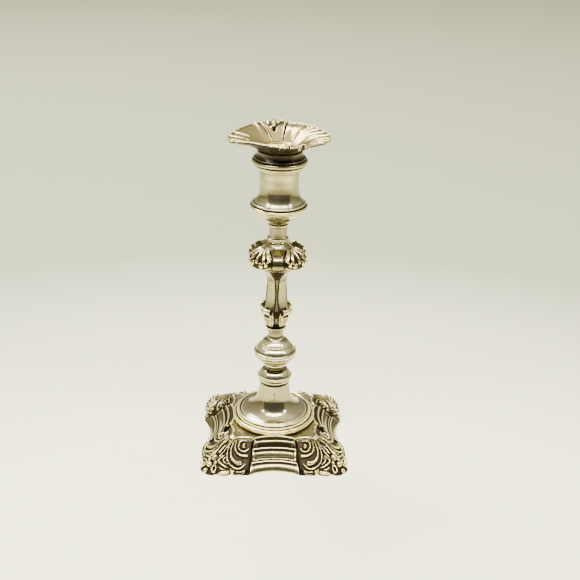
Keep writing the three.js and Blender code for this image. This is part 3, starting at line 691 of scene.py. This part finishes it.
def makePlate():
    # the flat top between the sides, the corner roots and the well ring
    half, dip = [readTable(sideOutline[key], plate["height"]) for key in ("half", "dip")]
    reach = sideOutline["profile"][0][0]
    front = [(half * s, -(reach + dip * s * s)) for s in np.linspace(-1, 1, 13)]
    corner = [(x, -y) for x, y in cornerPlan["inner"] + mirrored(cornerPlan["inner"])[::-1][1:]]
    outline = []
    for i in range(4):
        cos, sin = round(math.cos(i * quarterTurn)), round(math.sin(i * quarterTurn))
        outline += [(x * cos - y * sin, x * sin + y * cos) for x, y in front + corner]
    line = curveThrough(outline + outline[:1], 0.35)

    def place(across, along):
        x, y = followLength(line, across % 1.0)
        share = 1 - along * (1 - plate["wellRadius"] / np.hypot(x, y))
        z = plate["height"] + readTable(plate["levels"], along)
        return np.column_stack([x * share, y * share, z])

    bm = shapeGrid(plate["columns"], plate["rows"], place)
    bmesh.ops.remove_doubles(bm, verts=bm.verts, dist=mergeGap)
    closeUnder(bm, plate["underside"], 0.0, (0, 0))
    finishPiece(bm, "basePlate", ["base_shell"], plainSilver, depth=0.5)


makePlate()
print("base plate made")

# turned pieces

domeMarks = {
    "pinhole": (-0.4, 44.2, 0.7, 0.9),  # across, height, radius, depth
    "scratch": [(-0.3, 43), (0, 41.4), (0.1, 39.6)],  # across, height
    "scratchDepth": 0.18, "scratchWidth": 0.35, "frontOf": -9.5,
}


def markDome(bm, ground):
    holeX, holeZ, radius, depth = domeMarks["pinhole"]
    scratch = curveThrough(domeMarks["scratch"], 0.3)
    for vert in bm.verts:
        if vert.co.y > domeMarks["frontOf"]:
            continue
        share = max(0.0, 1 - math.hypot(vert.co.x - holeX, vert.co.z - holeZ) / radius)
        away = np.hypot(scratch[:, 0] - vert.co.x, scratch[:, 1] - vert.co.z).min()
        line = max(0.0, 1 - away / domeMarks["scratchWidth"])
        vert.co.y += depth * share + domeMarks["scratchDepth"] * line
        vert[ground] = max(vert[ground], share, 0.7 * line)


turnedPieces = [
    {
        "node": "well_ring", "bore": 23.9, "finish": castSilver, "slot": "silver_cast", "seam": 0.12,
        "profile": [(24.4, 0), (30.8, 0), (30.8, 0), (31.8, 0.5), (32.1, 1.4), (31.9, 2.6), (31, 3.4),
            (30, 3.3), (29.4, 2.9), (29.4, 2.9), (29.3, 4.2), (28.9, 5.6), (28.1, 6.6), (27.2, 6.6),
            (26.6, 5.9), (26.3, 5.1), (26.3, 5.1), (24.4, 5.1)],
    },
    {
        "node": "base_dome", "name": "dome", "bore": 9.0, "finish": plainSilver, "turns": 288,
        "reshape": markDome,
        "profile": [(23.4, 0), (23.4, 5.2), (23.4, 5.2), (25.6, 5.3), (26.1, 5.8), (25.7, 6.4), (24.6, 6.7),
            (23.2, 7.1), (21.6, 7.9), (19.6, 9.2), (17.3, 11.2), (15.2, 13.8), (13.6, 16.9),
            (12.6, 20.4), (12, 24.4), (11.5, 28.6), (11.3, 31.2), (11.4, 32)],
    },
    {
        "node": "lower_knop", "bore": 5.0,
        "profile": [(11, 0), (11.9, 0.4), (12.6, 1.4), (12.4, 2.4), (12, 2.8), (12, 2.8), (12.7, 3.1),
            (13.2, 4.1), (12.9, 5.1), (12.1, 5.6), (12.1, 5.6), (11.9, 6.2), (11.3, 7.3), (10, 8.8),
            (8.4, 9.8), (7.4, 10.5), (7.1, 11.5), (7.2, 12.6)],
    },
    {
        "node": "knop_ring", "bore": 5.0,
        "profile": [(7.2, 0), (8, 0.4), (8.5, 1.3), (8.4, 2.2), (7.9, 2.9), (7.3, 3.2)],
    },
    {
        "node": "main_knop", "bore": 4.5,
        "profile": [(8, 0), (11, 0.3), (12, 1.3), (13.3, 3.1), (14.6, 4.6), (14.6, 4.6), (15.4, 5),
            (15.8, 5.8), (15.6, 6.7), (15.6, 6.7), (16.2, 7.5), (16.4, 8.6), (16, 9.7), (15.1, 10.2),
            (15.1, 10.2), (14.7, 10.7), (14.2, 11.7), (13.1, 13.1), (11.9, 14.1), (11.3, 14.3),
            (11.3, 14.3), (11.5, 14.8), (11.2, 15.5), (10.6, 15.7), (10.6, 15.7), (10.7, 16.3),
            (10.2, 17), (9.3, 18), (8, 19.1), (6.8, 20.2), (6, 21.3), (5.7, 22)],
    },
    {
        "node": "stem_collar", "bore": 4.0,
        "profile": [(5.6, 0), (5.6, 3.2), (5.9, 4.4), (6.6, 4.9), (7, 5.4), (6.7, 5.9), (6.4, 6.1),
            (6.4, 6.1), (7.2, 6.6), (7.8, 7.4), (7.6, 8)],
    },
    {
        "node": "neck_ring", "bore": 4.0,
        "profile": [(6.6, 0), (7.2, 0.2), (7.6, 0.8), (7.2, 1.3), (7.2, 1.3), (7.9, 1.7), (8.1, 2.4),
            (7.7, 3.2), (6.6, 3.6), (6.3, 3.7)],
    },
    {
        "node": "socket_cup", "bore": 4.0,
        "profile": [(7.2, 0), (8.2, 0.5), (10.6, 2.6), (13.8, 5), (16.2, 7.4), (17.6, 9.2), (18, 9.8)],
    },
    {
        "node": "socket_lower_ring", "bore": 14.0, "finish": goldenSilver, "slot": "silver_cast",
        "profile": [(17.8, 0), (18.8, 0.2), (19.6, 0.8), (19.4, 1.5), (19.4, 1.5), (20.3, 1.8), (21, 2.6),
            (20.8, 3.5), (20, 3.9), (18.8, 4)],
    },
    {
        "node": "socket_vase", "bore": 12.9,
        "profile": [(18.6, 0), (19.3, 0.3), (19.5, 0.9), (19, 1.5), (18.3, 1.6), (18.3, 1.6), (17.7, 2.4),
            (16.3, 4.3), (15.1, 6.8), (14.4, 9.8), (14.1, 13), (14.1, 17), (14.2, 21),
            (14.6, 24.4), (15.1, 25.9), (15.1, 25.9), (15.9, 26), (16.4, 26.6), (16.3, 27.3),
            (16, 27.5), (16, 27.5), (17.2, 27.6), (17.9, 28.2), (18, 29), (17.6, 29.4),
            (17.6, 29.4), (18.2, 29.6), (18.4, 30)],
    },
    {
        "node": "socket_upper_ring", "bore": 12.9, "finish": dullSilver, "slot": "silver_cast",
        "profile": [(18.8, 0), (19.6, 0.4), (20, 1.3), (19.7, 2.3), (18.9, 2.9), (18.3, 3)],
    },
    {
        "node": "socket_rim", "bore": 12.9, "finish": tarnishedSilver,
        "profile": [(18.2, 0), (18.6, 0.4), (18.3, 1), (17.6, 1.2), (17.6, 1.2), (17, 2), (16.4, 3.4),
            (16.1, 4.8), (16, 5.4), (15.9, 5.8)],
    },
]

for piece in turnedPieces:
    turnPiece(**piece)
print("turned pieces made")


# shaft, brackets and neck

shaftShape = {
    "top": 146.6,  # the flare runs on a little into the knop
    # by height: the middle of a strip from the axis, half the width of a strip, its depth under the faces
    "reach": [(98.6, 5.8), (99.4, 7.2), (101, 7.8), (103.7, 9.5), (107, 10.2), (110, 10.3), (112.5, 9.8),
              (116, 9), (122, 8.1), (128, 7.7), (133, 7.4), (138, 7.7), (140.5, 8.5), (142.5, 9.5),
              (144.6, 10.9), (146.6, 12.4)],
    "strip": [(98.6, 2.8), (101, 2.2), (104, 1.1), (107, 1), (110, 1.9), (113, 1.6), (117, 1),
              (134, 0.9), (138, 1.4), (141, 2.6), (144, 4.2), (146.6, 5.4)],
    "sink": [(98.6, 1.2), (101, 1), (104, 0.25), (107, 0.3), (110, 0.9), (113, 0.7), (117, 0.3),
             (134, 0.25), (138, 0.6), (141, 1), (144, 1.4), (146.6, 1.6)],
    "swell": 0.55,  # how far a wide face bows out
    "groove": 0.3, "grooveWidth": 0.5,
    "seam": 0.15,
    "columns": 160, "rows": 130,
}
stripShare = 0.16  # of a quarter of the section, at each end


def shaftOutline(quarter, z, shape):
    # quarter runs 0 to 1 from the middle of one strip over a wide face to the middle of the next
    reach = readCurve(shape["reach"], z)
    strip = readCurve(shape["strip"], z)
    sink = readCurve(shape["sink"], z)
    onStrip = np.clip(np.minimum(quarter, 1 - quarter) / stripShare, 0, 1)
    face = np.clip((quarter - stripShare) / (1 - 2 * stripShare), 0, 1)
    x = reach + (strip - reach) * face
    y = strip + (reach - strip) * face
    bow = shape["swell"] * 4 * face * (1 - face) * (reach / 8)
    x, y = x + bow * math.sqrt(0.5), y + bow * math.sqrt(0.5)
    first, last = quarter < stripShare, quarter > 1 - stripShare
    dip = sink * (1 - smoothStep(onStrip, 0.55, 1.0))
    x = np.where(first, reach - dip, np.where(last, strip * onStrip, x))
    y = np.where(last, reach - dip, np.where(first, strip * onStrip, y))
    return x, y


def makeShaft():
    low, high = nodeHeights("shaft_half_left")[0], shaftShape["top"]

    def place(across, along):
        # half the section, from the front strip's middle round to the back strip's middle, on the left
        z = low + (high - low) * np.clip(along, 0, 1)
        turn = np.clip(across, 0, 1) * 2
        quarter = np.where(across >= 1, 1.0, np.where(turn < 1, turn, turn - 1))
        x, y = shaftOutline(quarter, z, shaftShape)
        px = np.where(turn < 1, -y, -x)
        py = np.where(turn < 1, -x, y)
        px = np.where(across >= 1, -shaftShape["seam"], np.minimum(px, -shaftShape["seam"]))
        py = np.where(across >= 1, x * 0 + y, py)
        return np.column_stack([px, py, z])

    def relief(across, along, points):
        z = points[:, 2]
        quarter = (np.clip(across, 0, 1) * 2) % 1.0
        end = np.minimum(quarter, 1 - quarter)
        offEdge = np.abs(end - stripShare) / stripShare * readTable(shaftShape["strip"], z)
        line = np.exp(-(offEdge / shaftShape["grooveWidth"]) ** 2)
        sunk = smoothStep(readTable(shaftShape["sink"], z), 0.3, 0.9) * (end < 0.15)
        foot = 1 - smoothStep(z, 99.8, 101.2)
        strip = 0.3 * (end < 0.15)
        dark = np.maximum(np.maximum(0.9 * line, 0.8 * sunk), np.maximum(0.9 * foot, strip))
        return -shaftShape["groove"] * line * (across > 0.02) * (across < 0.98), dark

    for name, node, side in (("shaftLeft", "shaft_half_left", 1), ("shaftRight", "shaft_half_right", -1)):
        bm = shapeGrid(shaftShape["columns"], shaftShape["rows"], place, relief, facing=-1)
        closeEnds(bm)
        if side < 0:
            bmesh.ops.scale(bm, vec=(-1, 1, 1), verts=bm.verts)
        finishPiece(bm, name, [node], plainSilver, depth=0.3)


makeShaft()

bracketShape = {
    "path": [(7.4, 100.6), (8.4, 102.6), (9.2, 105), (9.9, 107.6), (10.7, 109.8), (12, 111.2),
             (13.2, 112.6), (13.3, 114.2), (12.3, 115.3), (10.9, 115), (10.5, 113.9), (11.3, 113.2),
             (12.0, 113.6)],  # reach on the diagonal, and height; the end is rolled up
    "width": [(0, 1.6), (0.2, 3.2), (0.45, 4.3), (0.6, 4.5), (0.75, 4.3), (1, 3.6)],  # along, half width
    "thickness": 0.8, "border": 0.45, "columns": 34,
}


def makeBrackets():
    path = curveThrough(bracketShape["path"], 0.25)

    def place(across, along):
        reach, z = followRows(path, along)
        side = (2 * across - 1) * readTable(bracketShape["width"], along)
        bend = (0.03 + 0.03 * smoothStep(along, 0.4, 0.7)) * side**2
        return np.column_stack([reach - bend, side, z])

    def relief(across, along, points):
        share = np.abs(2 * across - 1)
        rolled = smoothStep(share, 0.72, 0.84) * bracketShape["border"]
        middle = 1 - smoothStep(share, 0.68, 0.78)
        pocket = 0.9 * smoothStep(along, 0.34, 0.39) * (1 - smoothStep(along, 0.51, 0.55)) * middle
        return rolled - pocket, 1.2 * pocket + 0.9 * smoothStep(along, 0.80, 0.9)

    bm = shapeGrid(bracketShape["columns"], len(path) - 1, place, relief)
    bmesh.ops.recalc_face_normals(bm, faces=bm.faces)
    bmesh.ops.solidify(bm, geom=bm.faces[:], thickness=bracketShape["thickness"])
    bmesh.ops.rotate(bm, matrix=Matrix.Rotation(-quarterTurn / 2, 3, "Z"), verts=bm.verts)
    first = finishPiece(bm, "scrollBracketFrontRight", ["scroll_bracket_front_right"],
                        castSilver, depth=0.4)
    nodes = [f"scroll_bracket_{quarter}" for quarter in otherQuarters]
    turnCopies(first, [(camelName(node), node, castSilver) for node in nodes])


makeBrackets()

neckShape = {  # by height over its foot, as on the shaft
    "reach": [(0, 6.3), (2, 6.2), (5, 6.4), (8, 6.9), (10, 7.5), (10.6, 7.3)],
    "strip": [(0, 2.2), (10.6, 2.6)],
    "sink": [(0, 0.1), (10.6, 0.1)],
    "swell": 1.2, "columns": 160, "rows": 36,
}


def makeNeck():
    low, high = nodeHeights("neck")

    def place(across, along):
        z = (high - low) * np.clip(along, 0, 1)
        turn = (across % 1.0) * 4
        x, y = shaftOutline(turn % 1.0, z, neckShape)
        angle = np.floor(turn) * quarterTurn
        return np.column_stack([x * np.cos(angle) - y * np.sin(angle), x * np.sin(angle) + y * np.cos(angle),
                                z + low])

    bm = shapeGrid(neckShape["columns"], neckShape["rows"], place)
    bmesh.ops.remove_doubles(bm, verts=bm.verts, dist=mergeGap)
    bmesh.ops.holes_fill(bm, edges=[e for e in bm.edges if e.is_boundary], sides=0)
    finishPiece(bm, "neck", ["neck"], wornSilver)


makeNeck()
print("shaft, brackets and neck made")


# shell knop

knopShape = {
    "profile": [(10.6, 146.7), (12.4, 146.8), (14.4, 147.5), (16.8, 149),
                (18.4, 150.8), (19.2, 152.6), (19.35, 154), (18.8, 156), (17.4, 158.2), (15, 160.3),
                (11.8, 162.1), (9.4, 163.6), (8, 165), (7.2, 166), (6.6, 166.2)],
    "shellHalf": 31.0,  # degrees each side of a diagonal
    "shellStand": 2.2,  # how far a shell stands off the plain front
    "shellEdge": 152.2, "shellRoot": 161.8,  # heights of its scalloped edge and its root
    "strokes": [  # turn from the diagonal in degrees, height, half width in mm, height in mm
        [(0, 163.4, .4, .6), (0, 160.4, .8, 1.2), (0, 158.1, 1.1, 1.6), (0, 155.6, 1.2, 1.7)],
        [(3, 163.2, .4, .6), (8, 160.6, .8, 1.2), (13.4, 158.2, 1.1, 1.7), (15.2, 155.8, 1.1, 1.9),
         (13.4, 153.9, .9, 1.9), (10.2, 153.7, .8, 1.8), (8, 155, .7, 1.5)],
        [(5, 163, .4, .6), (14, 161.3, .75, 1.2), (21.6, 158.9, .95, 1.6), (24.8, 156.6, .9, 1.8),
         (23.6, 154.9, .8, 1.8), (20.6, 154.4, .75, 1.7), (18.4, 155.6, .65, 1.5)],
        [(8, 162.8, .4, .6), (19, 161.2, .6, 1.1), (26.5, 159.8, .7, 1.4), (29.4, 159, .7, 1.5),
         (28.2, 157.2, .6, 1.4), (26.2, 157.5, .5, 1.2)],
        [(-29, 153.8, .45, .9), (-15, 152.4, .5, .9), (0, 151.9, .5, .9), (15, 152.4, .5, .9),
         (29, 153.8, .45, .9)],
    ],
    # turn, height, radius
    "holes": [(4.6, 155.2, 1.1), (11, 155.9, .9), (21, 157, .9), (17, 154.9, .8), (26, 155.6, .8)],
    "columns": 420, "rows": 120,
}


def makeShellKnop():
    shape = knopShape
    profile = curveThrough(shape["profile"], 0.25)
    strokes = []
    for stroke in shape["strokes"]:
        strokes.append(stroke)
        if 0 < stroke[0][0]:  # those to one side are mirrored to the other
            strokes.append([(-turn, *rest) for turn, *rest in stroke])

    def sideways(degrees, height):
        return np.radians(degrees) * np.interp(height, profile[:, 1], profile[:, 0])

    strokes = [[(sideways(t, z), z, w, h) for t, z, w, h in stroke] for stroke in strokes]

    def place(across, along):
        radius, z = followRows(profile, along)
        return roundAxis(radius, across * 2 * math.pi, z)

    def relief(across, along, points):
        turn = (across * 360) % 90 - 45  # from the nearest diagonal
        z = points[:, 2]
        radius = np.hypot(points[:, 0], points[:, 1])
        lateral = np.radians(turn) * radius
        low = shape["shellEdge"] - 0.9 + 0.0021 * turn**2
        up = smoothStep(z, low - 0.5, low + 0.3)
        narrow = 1 - smoothStep(z, 158.0, shape["shellRoot"] + 1.2) * 0.45
        half = shape["shellHalf"] * narrow
        inside = 1 - smoothStep(np.abs(turn), half - 1.2, half + 0.4)
        top = 1 - smoothStep(z, shape["shellRoot"] - 0.3, shape["shellRoot"] + 1.0)
        sheet = shape["shellStand"] * up * inside * top
        raised = strokeHeights(lateral, z, strokes, 0.3)
        border = np.exp(-((np.abs(turn) - half + 1.2) / 1.1) ** 2) * 0.5
        hole = np.zeros(len(z))
        for t, h, size in shape["holes"]:
            for way in (-1, 1):
                gap = np.hypot(lateral - way * sideways(t, h), z - h) / size
                hole = np.maximum(hole, 1 - smoothStep(gap, 0.4, 1.1))
        carved = raised + border - 0.9 * hole
        over = up * inside * top
        dark = 0.55 * (1 - smoothStep(raised, 0.1, 0.7)) + 0.9 * hole
        return sheet + carved * over, dark * over

    bm = shapeGrid(shape["columns"], shape["rows"], place, relief)
    bmesh.ops.remove_doubles(bm, verts=bm.verts, dist=mergeGap)
    closeEnds(bm)
    finishPiece(bm, "shellKnop", ["shell_knop"], castSilver, depth=0.6, sharp=80)


makeShellKnop()
print("shell knop made")


# loose nozzle: sleeve and drip pan

sleeveShape = {
    "profile": [(0.4, 0), (11.6, 0), (11.6, 0), (12.2, 0.3), (12.4, 0.9), (12.4, 36), (12.1, 36.6),
                (12.4, 37.2), (12.4, 39.6), (12, 40), (11.4, 40), (11.2, 39.6), (11.2, 1.8), (10.8, 1.2),
                (0.4, 1.2)],
    "turns": 96,
}


def makeSleeve():
    bottom, _ = nodeHeights("nozzle_sleeve")
    bm = spinOutline([(r, bottom + z) for r, z in sleeveShape["profile"]], sleeveShape["turns"])
    finishPiece(bm, "nozzleSleeve", ["nozzle_sleeve"], plainSilver, "sleeve")


makeSleeve()

panShape = {
    "rim": [  # degrees round, reach, height of the rim
        (-20, 34, 244), (0, 36.2, 243.7), (25, 34.8, 244.8), (53, 34.8, 245.6), (80, 35.8, 245.9),
        (97, 36.6, 246.1), (116, 35.2, 245.8), (145, 34, 244.9), (170, 35.8, 243.6), (190, 37.2, 242.9),
        (205, 33.6, 243.8), (218, 29.8, 244.6), (240, 28.4, 245), (258, 29.6, 245), (265, 30.4, 244.9),
        (269, 29.2, 244.2), (273, 30.4, 244.6), (285, 31.2, 244.5), (303, 31.8, 244.6), (320, 31.8, 244.3),
        (340, 34, 244), (360, 36.2, 243.7), (380, 34.9, 244.6)],
    "waves": [(23, 0.18, 0), (37, 0.14, 1)],  # small ripples of the rim: how many, how high, phase
    "boreReach": 12.7, "floorReach": 15.6, "floorHeight": 236.9,
    "floorShare": 0.14, "bowl": 1.9,  # share of the rows on the flat floor, and how hollow the wall is
    "ridges": [  # degrees round, radius, half width, height
        [(111, 16.5, .4, .6), (113, 25, .6, 1.2), (114, 33.5, .8, 1.5)],
        [(124, 24, .3, .4), (122, 30, .5, .8), (121, 34, .5, .9)],
        [(59, 17, .4, .5), (58, 25, .5, .9), (57, 33, .6, 1.1)],
        [(84, 19, .3, .4), (83, 28, .5, .9), (83, 34.5, .6, 1)],
        [(99, 27.5, 1.5, 1.8), (98, 30.5, 2.1, 3), (97, 33.5, 2, 2.8)],
        [(106, 30.5, 1.1, 1.6), (105, 33, 1.4, 2.2)],
        [(104, 26, .9, 1.2), (104, 27, .9, 1.2)],
        [(92, 31.5, .9, 1.4), (89, 34.2, 1.1, 1.8), (86, 35, .8, 1.4)],
        [(50, 27, .4, .4), (46, 31, .8, .8), (43, 33.8, .9, 1)],
        [(-28, 24, .4, .4), (-27, 28, .7, .9), (-26, 32, .8, 1)],
        [(156, 24, .4, .4), (160, 29, .7, .8), (162, 33.8, .8, .9)],
        [(202, 21, .4, .4), (199, 26, .7, .9), (198, 33, .8, 1)],
        [(216, 22, .4, .4), (212, 26, .7, .8), (211, 30, .7, .9)],
        [(251, 21, .4, .5), (255, 25, .6, 1.1), (258, 28.5, .8, 1.4)],
        [(277, 21, .4, .5), (279, 26, .7, 1.2), (280, 30, .9, 1.6)],
        [(288, 22, .4, .6), (290, 27, .7, 1.2), (291, 30.4, .9, 1.6)],
        [(293, 29, .8, 1.4), (297, 30.6, .8, 1.6), (303, 30.6, .8, 1.6), (306, 28.6, .8, 1.5),
         (302, 27, .7, 1.3), (297, 27.4, .6, 1.2)],
    ],
    "creases": [  # degrees round, radius, half width, depth
        [(108, 16.5, .4, .5), (109.5, 25, .6, 1), (110.5, 32.5, .6, 1)],
        [(81, 16.5, .4, .5), (80.5, 26, .6, 1.1), (80, 35, .6, 1.1)],
        [(54, 17, .4, .5), (54, 26, .5, 1), (52.5, 32.5, .5, 1)],
        [(99, 24.6, 1.4, 1.4), (98.6, 26, 1.5, 1.5)],
        [(268, 25, .4, .8), (269, 28.8, .7, 1.2)],
        [(300, 28.8, .9, 1.2), (301, 29.2, .9, 1.2)],
    ],
    "ribs": [  # broad ridges near the rim: degrees round and radius at three places
        (44, 24, 38, 29, 34, 33.4), (34, 22, 26, 28, 23, 33.6), (20, 21, 14, 28, 12, 34.4),
        (4, 21, 1, 28, 0, 35.2), (170, 22, 174, 28, 175, 34.6), (186, 21, 187, 28, 187, 35.6),
        (-12, 22, -13, 27, -13, 33.4)],
    "flutes": [  # finer creases near the rim: degrees round and radius at each end
        (42, 27, 38.6, 33.4), (32, 26, 28.4, 33.2), (20, 26, 17.4, 33.6), (7.6, 26, 6, 34.6),
        (-6, 26, -6.6, 34), (-20, 26, -19.6, 32.4), (166, 27, 168.4, 34), (180.6, 26, 181, 35),
        (193.6, 26, 192.6, 34.6), (205.6, 26, 204.6, 31.4)],
    "lip": 0.9, "thickness": 0.9, "underDark": 0.55, "columns": 620, "rows": 96,
}


def makePan():
    shape = panShape
    rimLine = curveThrough(shape["rim"], 2.0)
    bore, start, low = shape["boreReach"], shape["floorReach"], shape["floorHeight"]
    floorShare = shape["floorShare"]

    def place(across, along):
        angle = across * 2 * math.pi
        at = (np.degrees(angle) + 20) % 360 - 20
        reach, height = [np.interp(at, rimLine[:, 0], rimLine[:, i]) for i in (1, 2)]
        for count, size, phase in shape["waves"]:
            reach = reach + size * np.sin(angle * count + phase)
        share = np.clip(along, 0, 1)
        wall = np.clip((share - floorShare) / (1 - floorShare), 0, 1)
        radius = np.where(share < floorShare, bore + (start - bore) * share / floorShare,
                          start + (reach - start) * wall)
        rise = low + (height - low) * (1 - (1 - wall) ** shape["bowl"])
        return roundAxis(radius, angle, np.where(share < floorShare, low, rise))

    def polar(strokes):
        return [[(r * math.cos(math.radians(t)), r * math.sin(math.radians(t)), w, h) for t, r, w, h in stroke]
                for stroke in strokes]

    ridges = shape["ridges"] + [[(*rib[:2], .4, .4), (*rib[2:4], .8, .9), (*rib[4:], .9, 1)]
                                for rib in shape["ribs"]]
    creases = shape["creases"] + [[(*flute[:2], .3, .3), (*flute[2:], .4, .6)] for flute in shape["flutes"]]

    def relief(across, along, points):
        raised = strokeHeights(points[:, 0], points[:, 1], polar(ridges))
        sunk = strokeHeights(points[:, 0], points[:, 1], polar(creases))
        lip = shape["lip"] * np.sin(np.clip((along - 0.93) / 0.07, 0, 1) * math.pi * 0.8)
        return raised + lip - sunk, 0.9 * np.clip(sunk, 0, 1)

    bm = shapeGrid(shape["columns"], shape["rows"], place, relief, facing=-1)
    bmesh.ops.remove_doubles(bm, verts=bm.verts, dist=mergeGap)
    bmesh.ops.recalc_face_normals(bm, faces=bm.faces)
    if sum(f.normal.z for f in bm.faces) < 0:
        bmesh.ops.reverse_faces(bm, faces=bm.faces)
    bmesh.ops.solidify(bm, geom=bm.faces[:], thickness=shape["thickness"])
    bm.normal_update()
    ground = bm.verts.layers.float["ground"]
    # painted shade: the downward-facing underside gets the dark hollow colour
    for vert in bm.verts:
        if vert.normal.z < -0.15:
            vert[ground] = shape["underDark"]
    finishPiece(bm, "dripPan", ["drip_pan"], goldenSilver, "pan", depth=0.6, sharp=70)


makePan()
print("nozzle made")


# hidden and underside pieces keep their shape and get their own finishes

hidden = {
    "iron": {"nodes": ("tie_rod", "rod_washer", "rod_nut", "top_nut"), "dark": (0.10, 0.085, 0.075),
             "light": (0.30, 0.24, 0.19), "scale": 300.0, "roughness": (0.45, 0.8), "metallic": 0.85},
    "pitch": {"nodes": ("base_fill", "stem_fill"), "dark": (0.012, 0.010, 0.008),
              "light": (0.05, 0.04, 0.03), "scale": 160.0, "roughness": (0.35, 0.75), "metallic": 0.0},
    "wood": {"nodes": ("base_board",), "dark": (0.20, 0.11, 0.055),
             "light": (0.42, 0.27, 0.15), "scale": 90.0, "roughness": (0.55, 0.8), "metallic": 0.0,
             "stretch": (1, 0.12, 1)},
    "baize": {"nodes": ("baize_pad",), "dark": (0.018, 0.075, 0.035),
              "light": (0.05, 0.16, 0.08), "scale": 1500.0, "roughness": (0.9, 1.0), "metallic": 0.0},
}


def finishHidden(name, look):
    material, tree, shader = newMaterial(name)
    grain = noise(tree, objectCoordinates(tree, look.get("stretch", (1, 1, 1))), look["scale"], 5.0)
    colour = mixColours(tree, remap(tree, grain, 0.35, 0.65), look["dark"], look["light"])
    tree.links.new(colour, shader.inputs["Base Color"])
    tree.links.new(remap(tree, grain, 0.3, 0.7, *look["roughness"]), shader.inputs["Roughness"])
    shader.inputs["Metallic"].default_value = look["metallic"]
    addBump(tree, shader, grain, 0.4, 0.0003)
    for node in look["nodes"]:
        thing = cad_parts[node]
        if not thing.data.materials:
            thing.data.materials.append(material)
        for materialSlot in thing.material_slots:
            materialSlot.link = "OBJECT"
            materialSlot.material = material


for name, look in hidden.items():
    finishHidden(name, look)
print("hidden pieces finished")
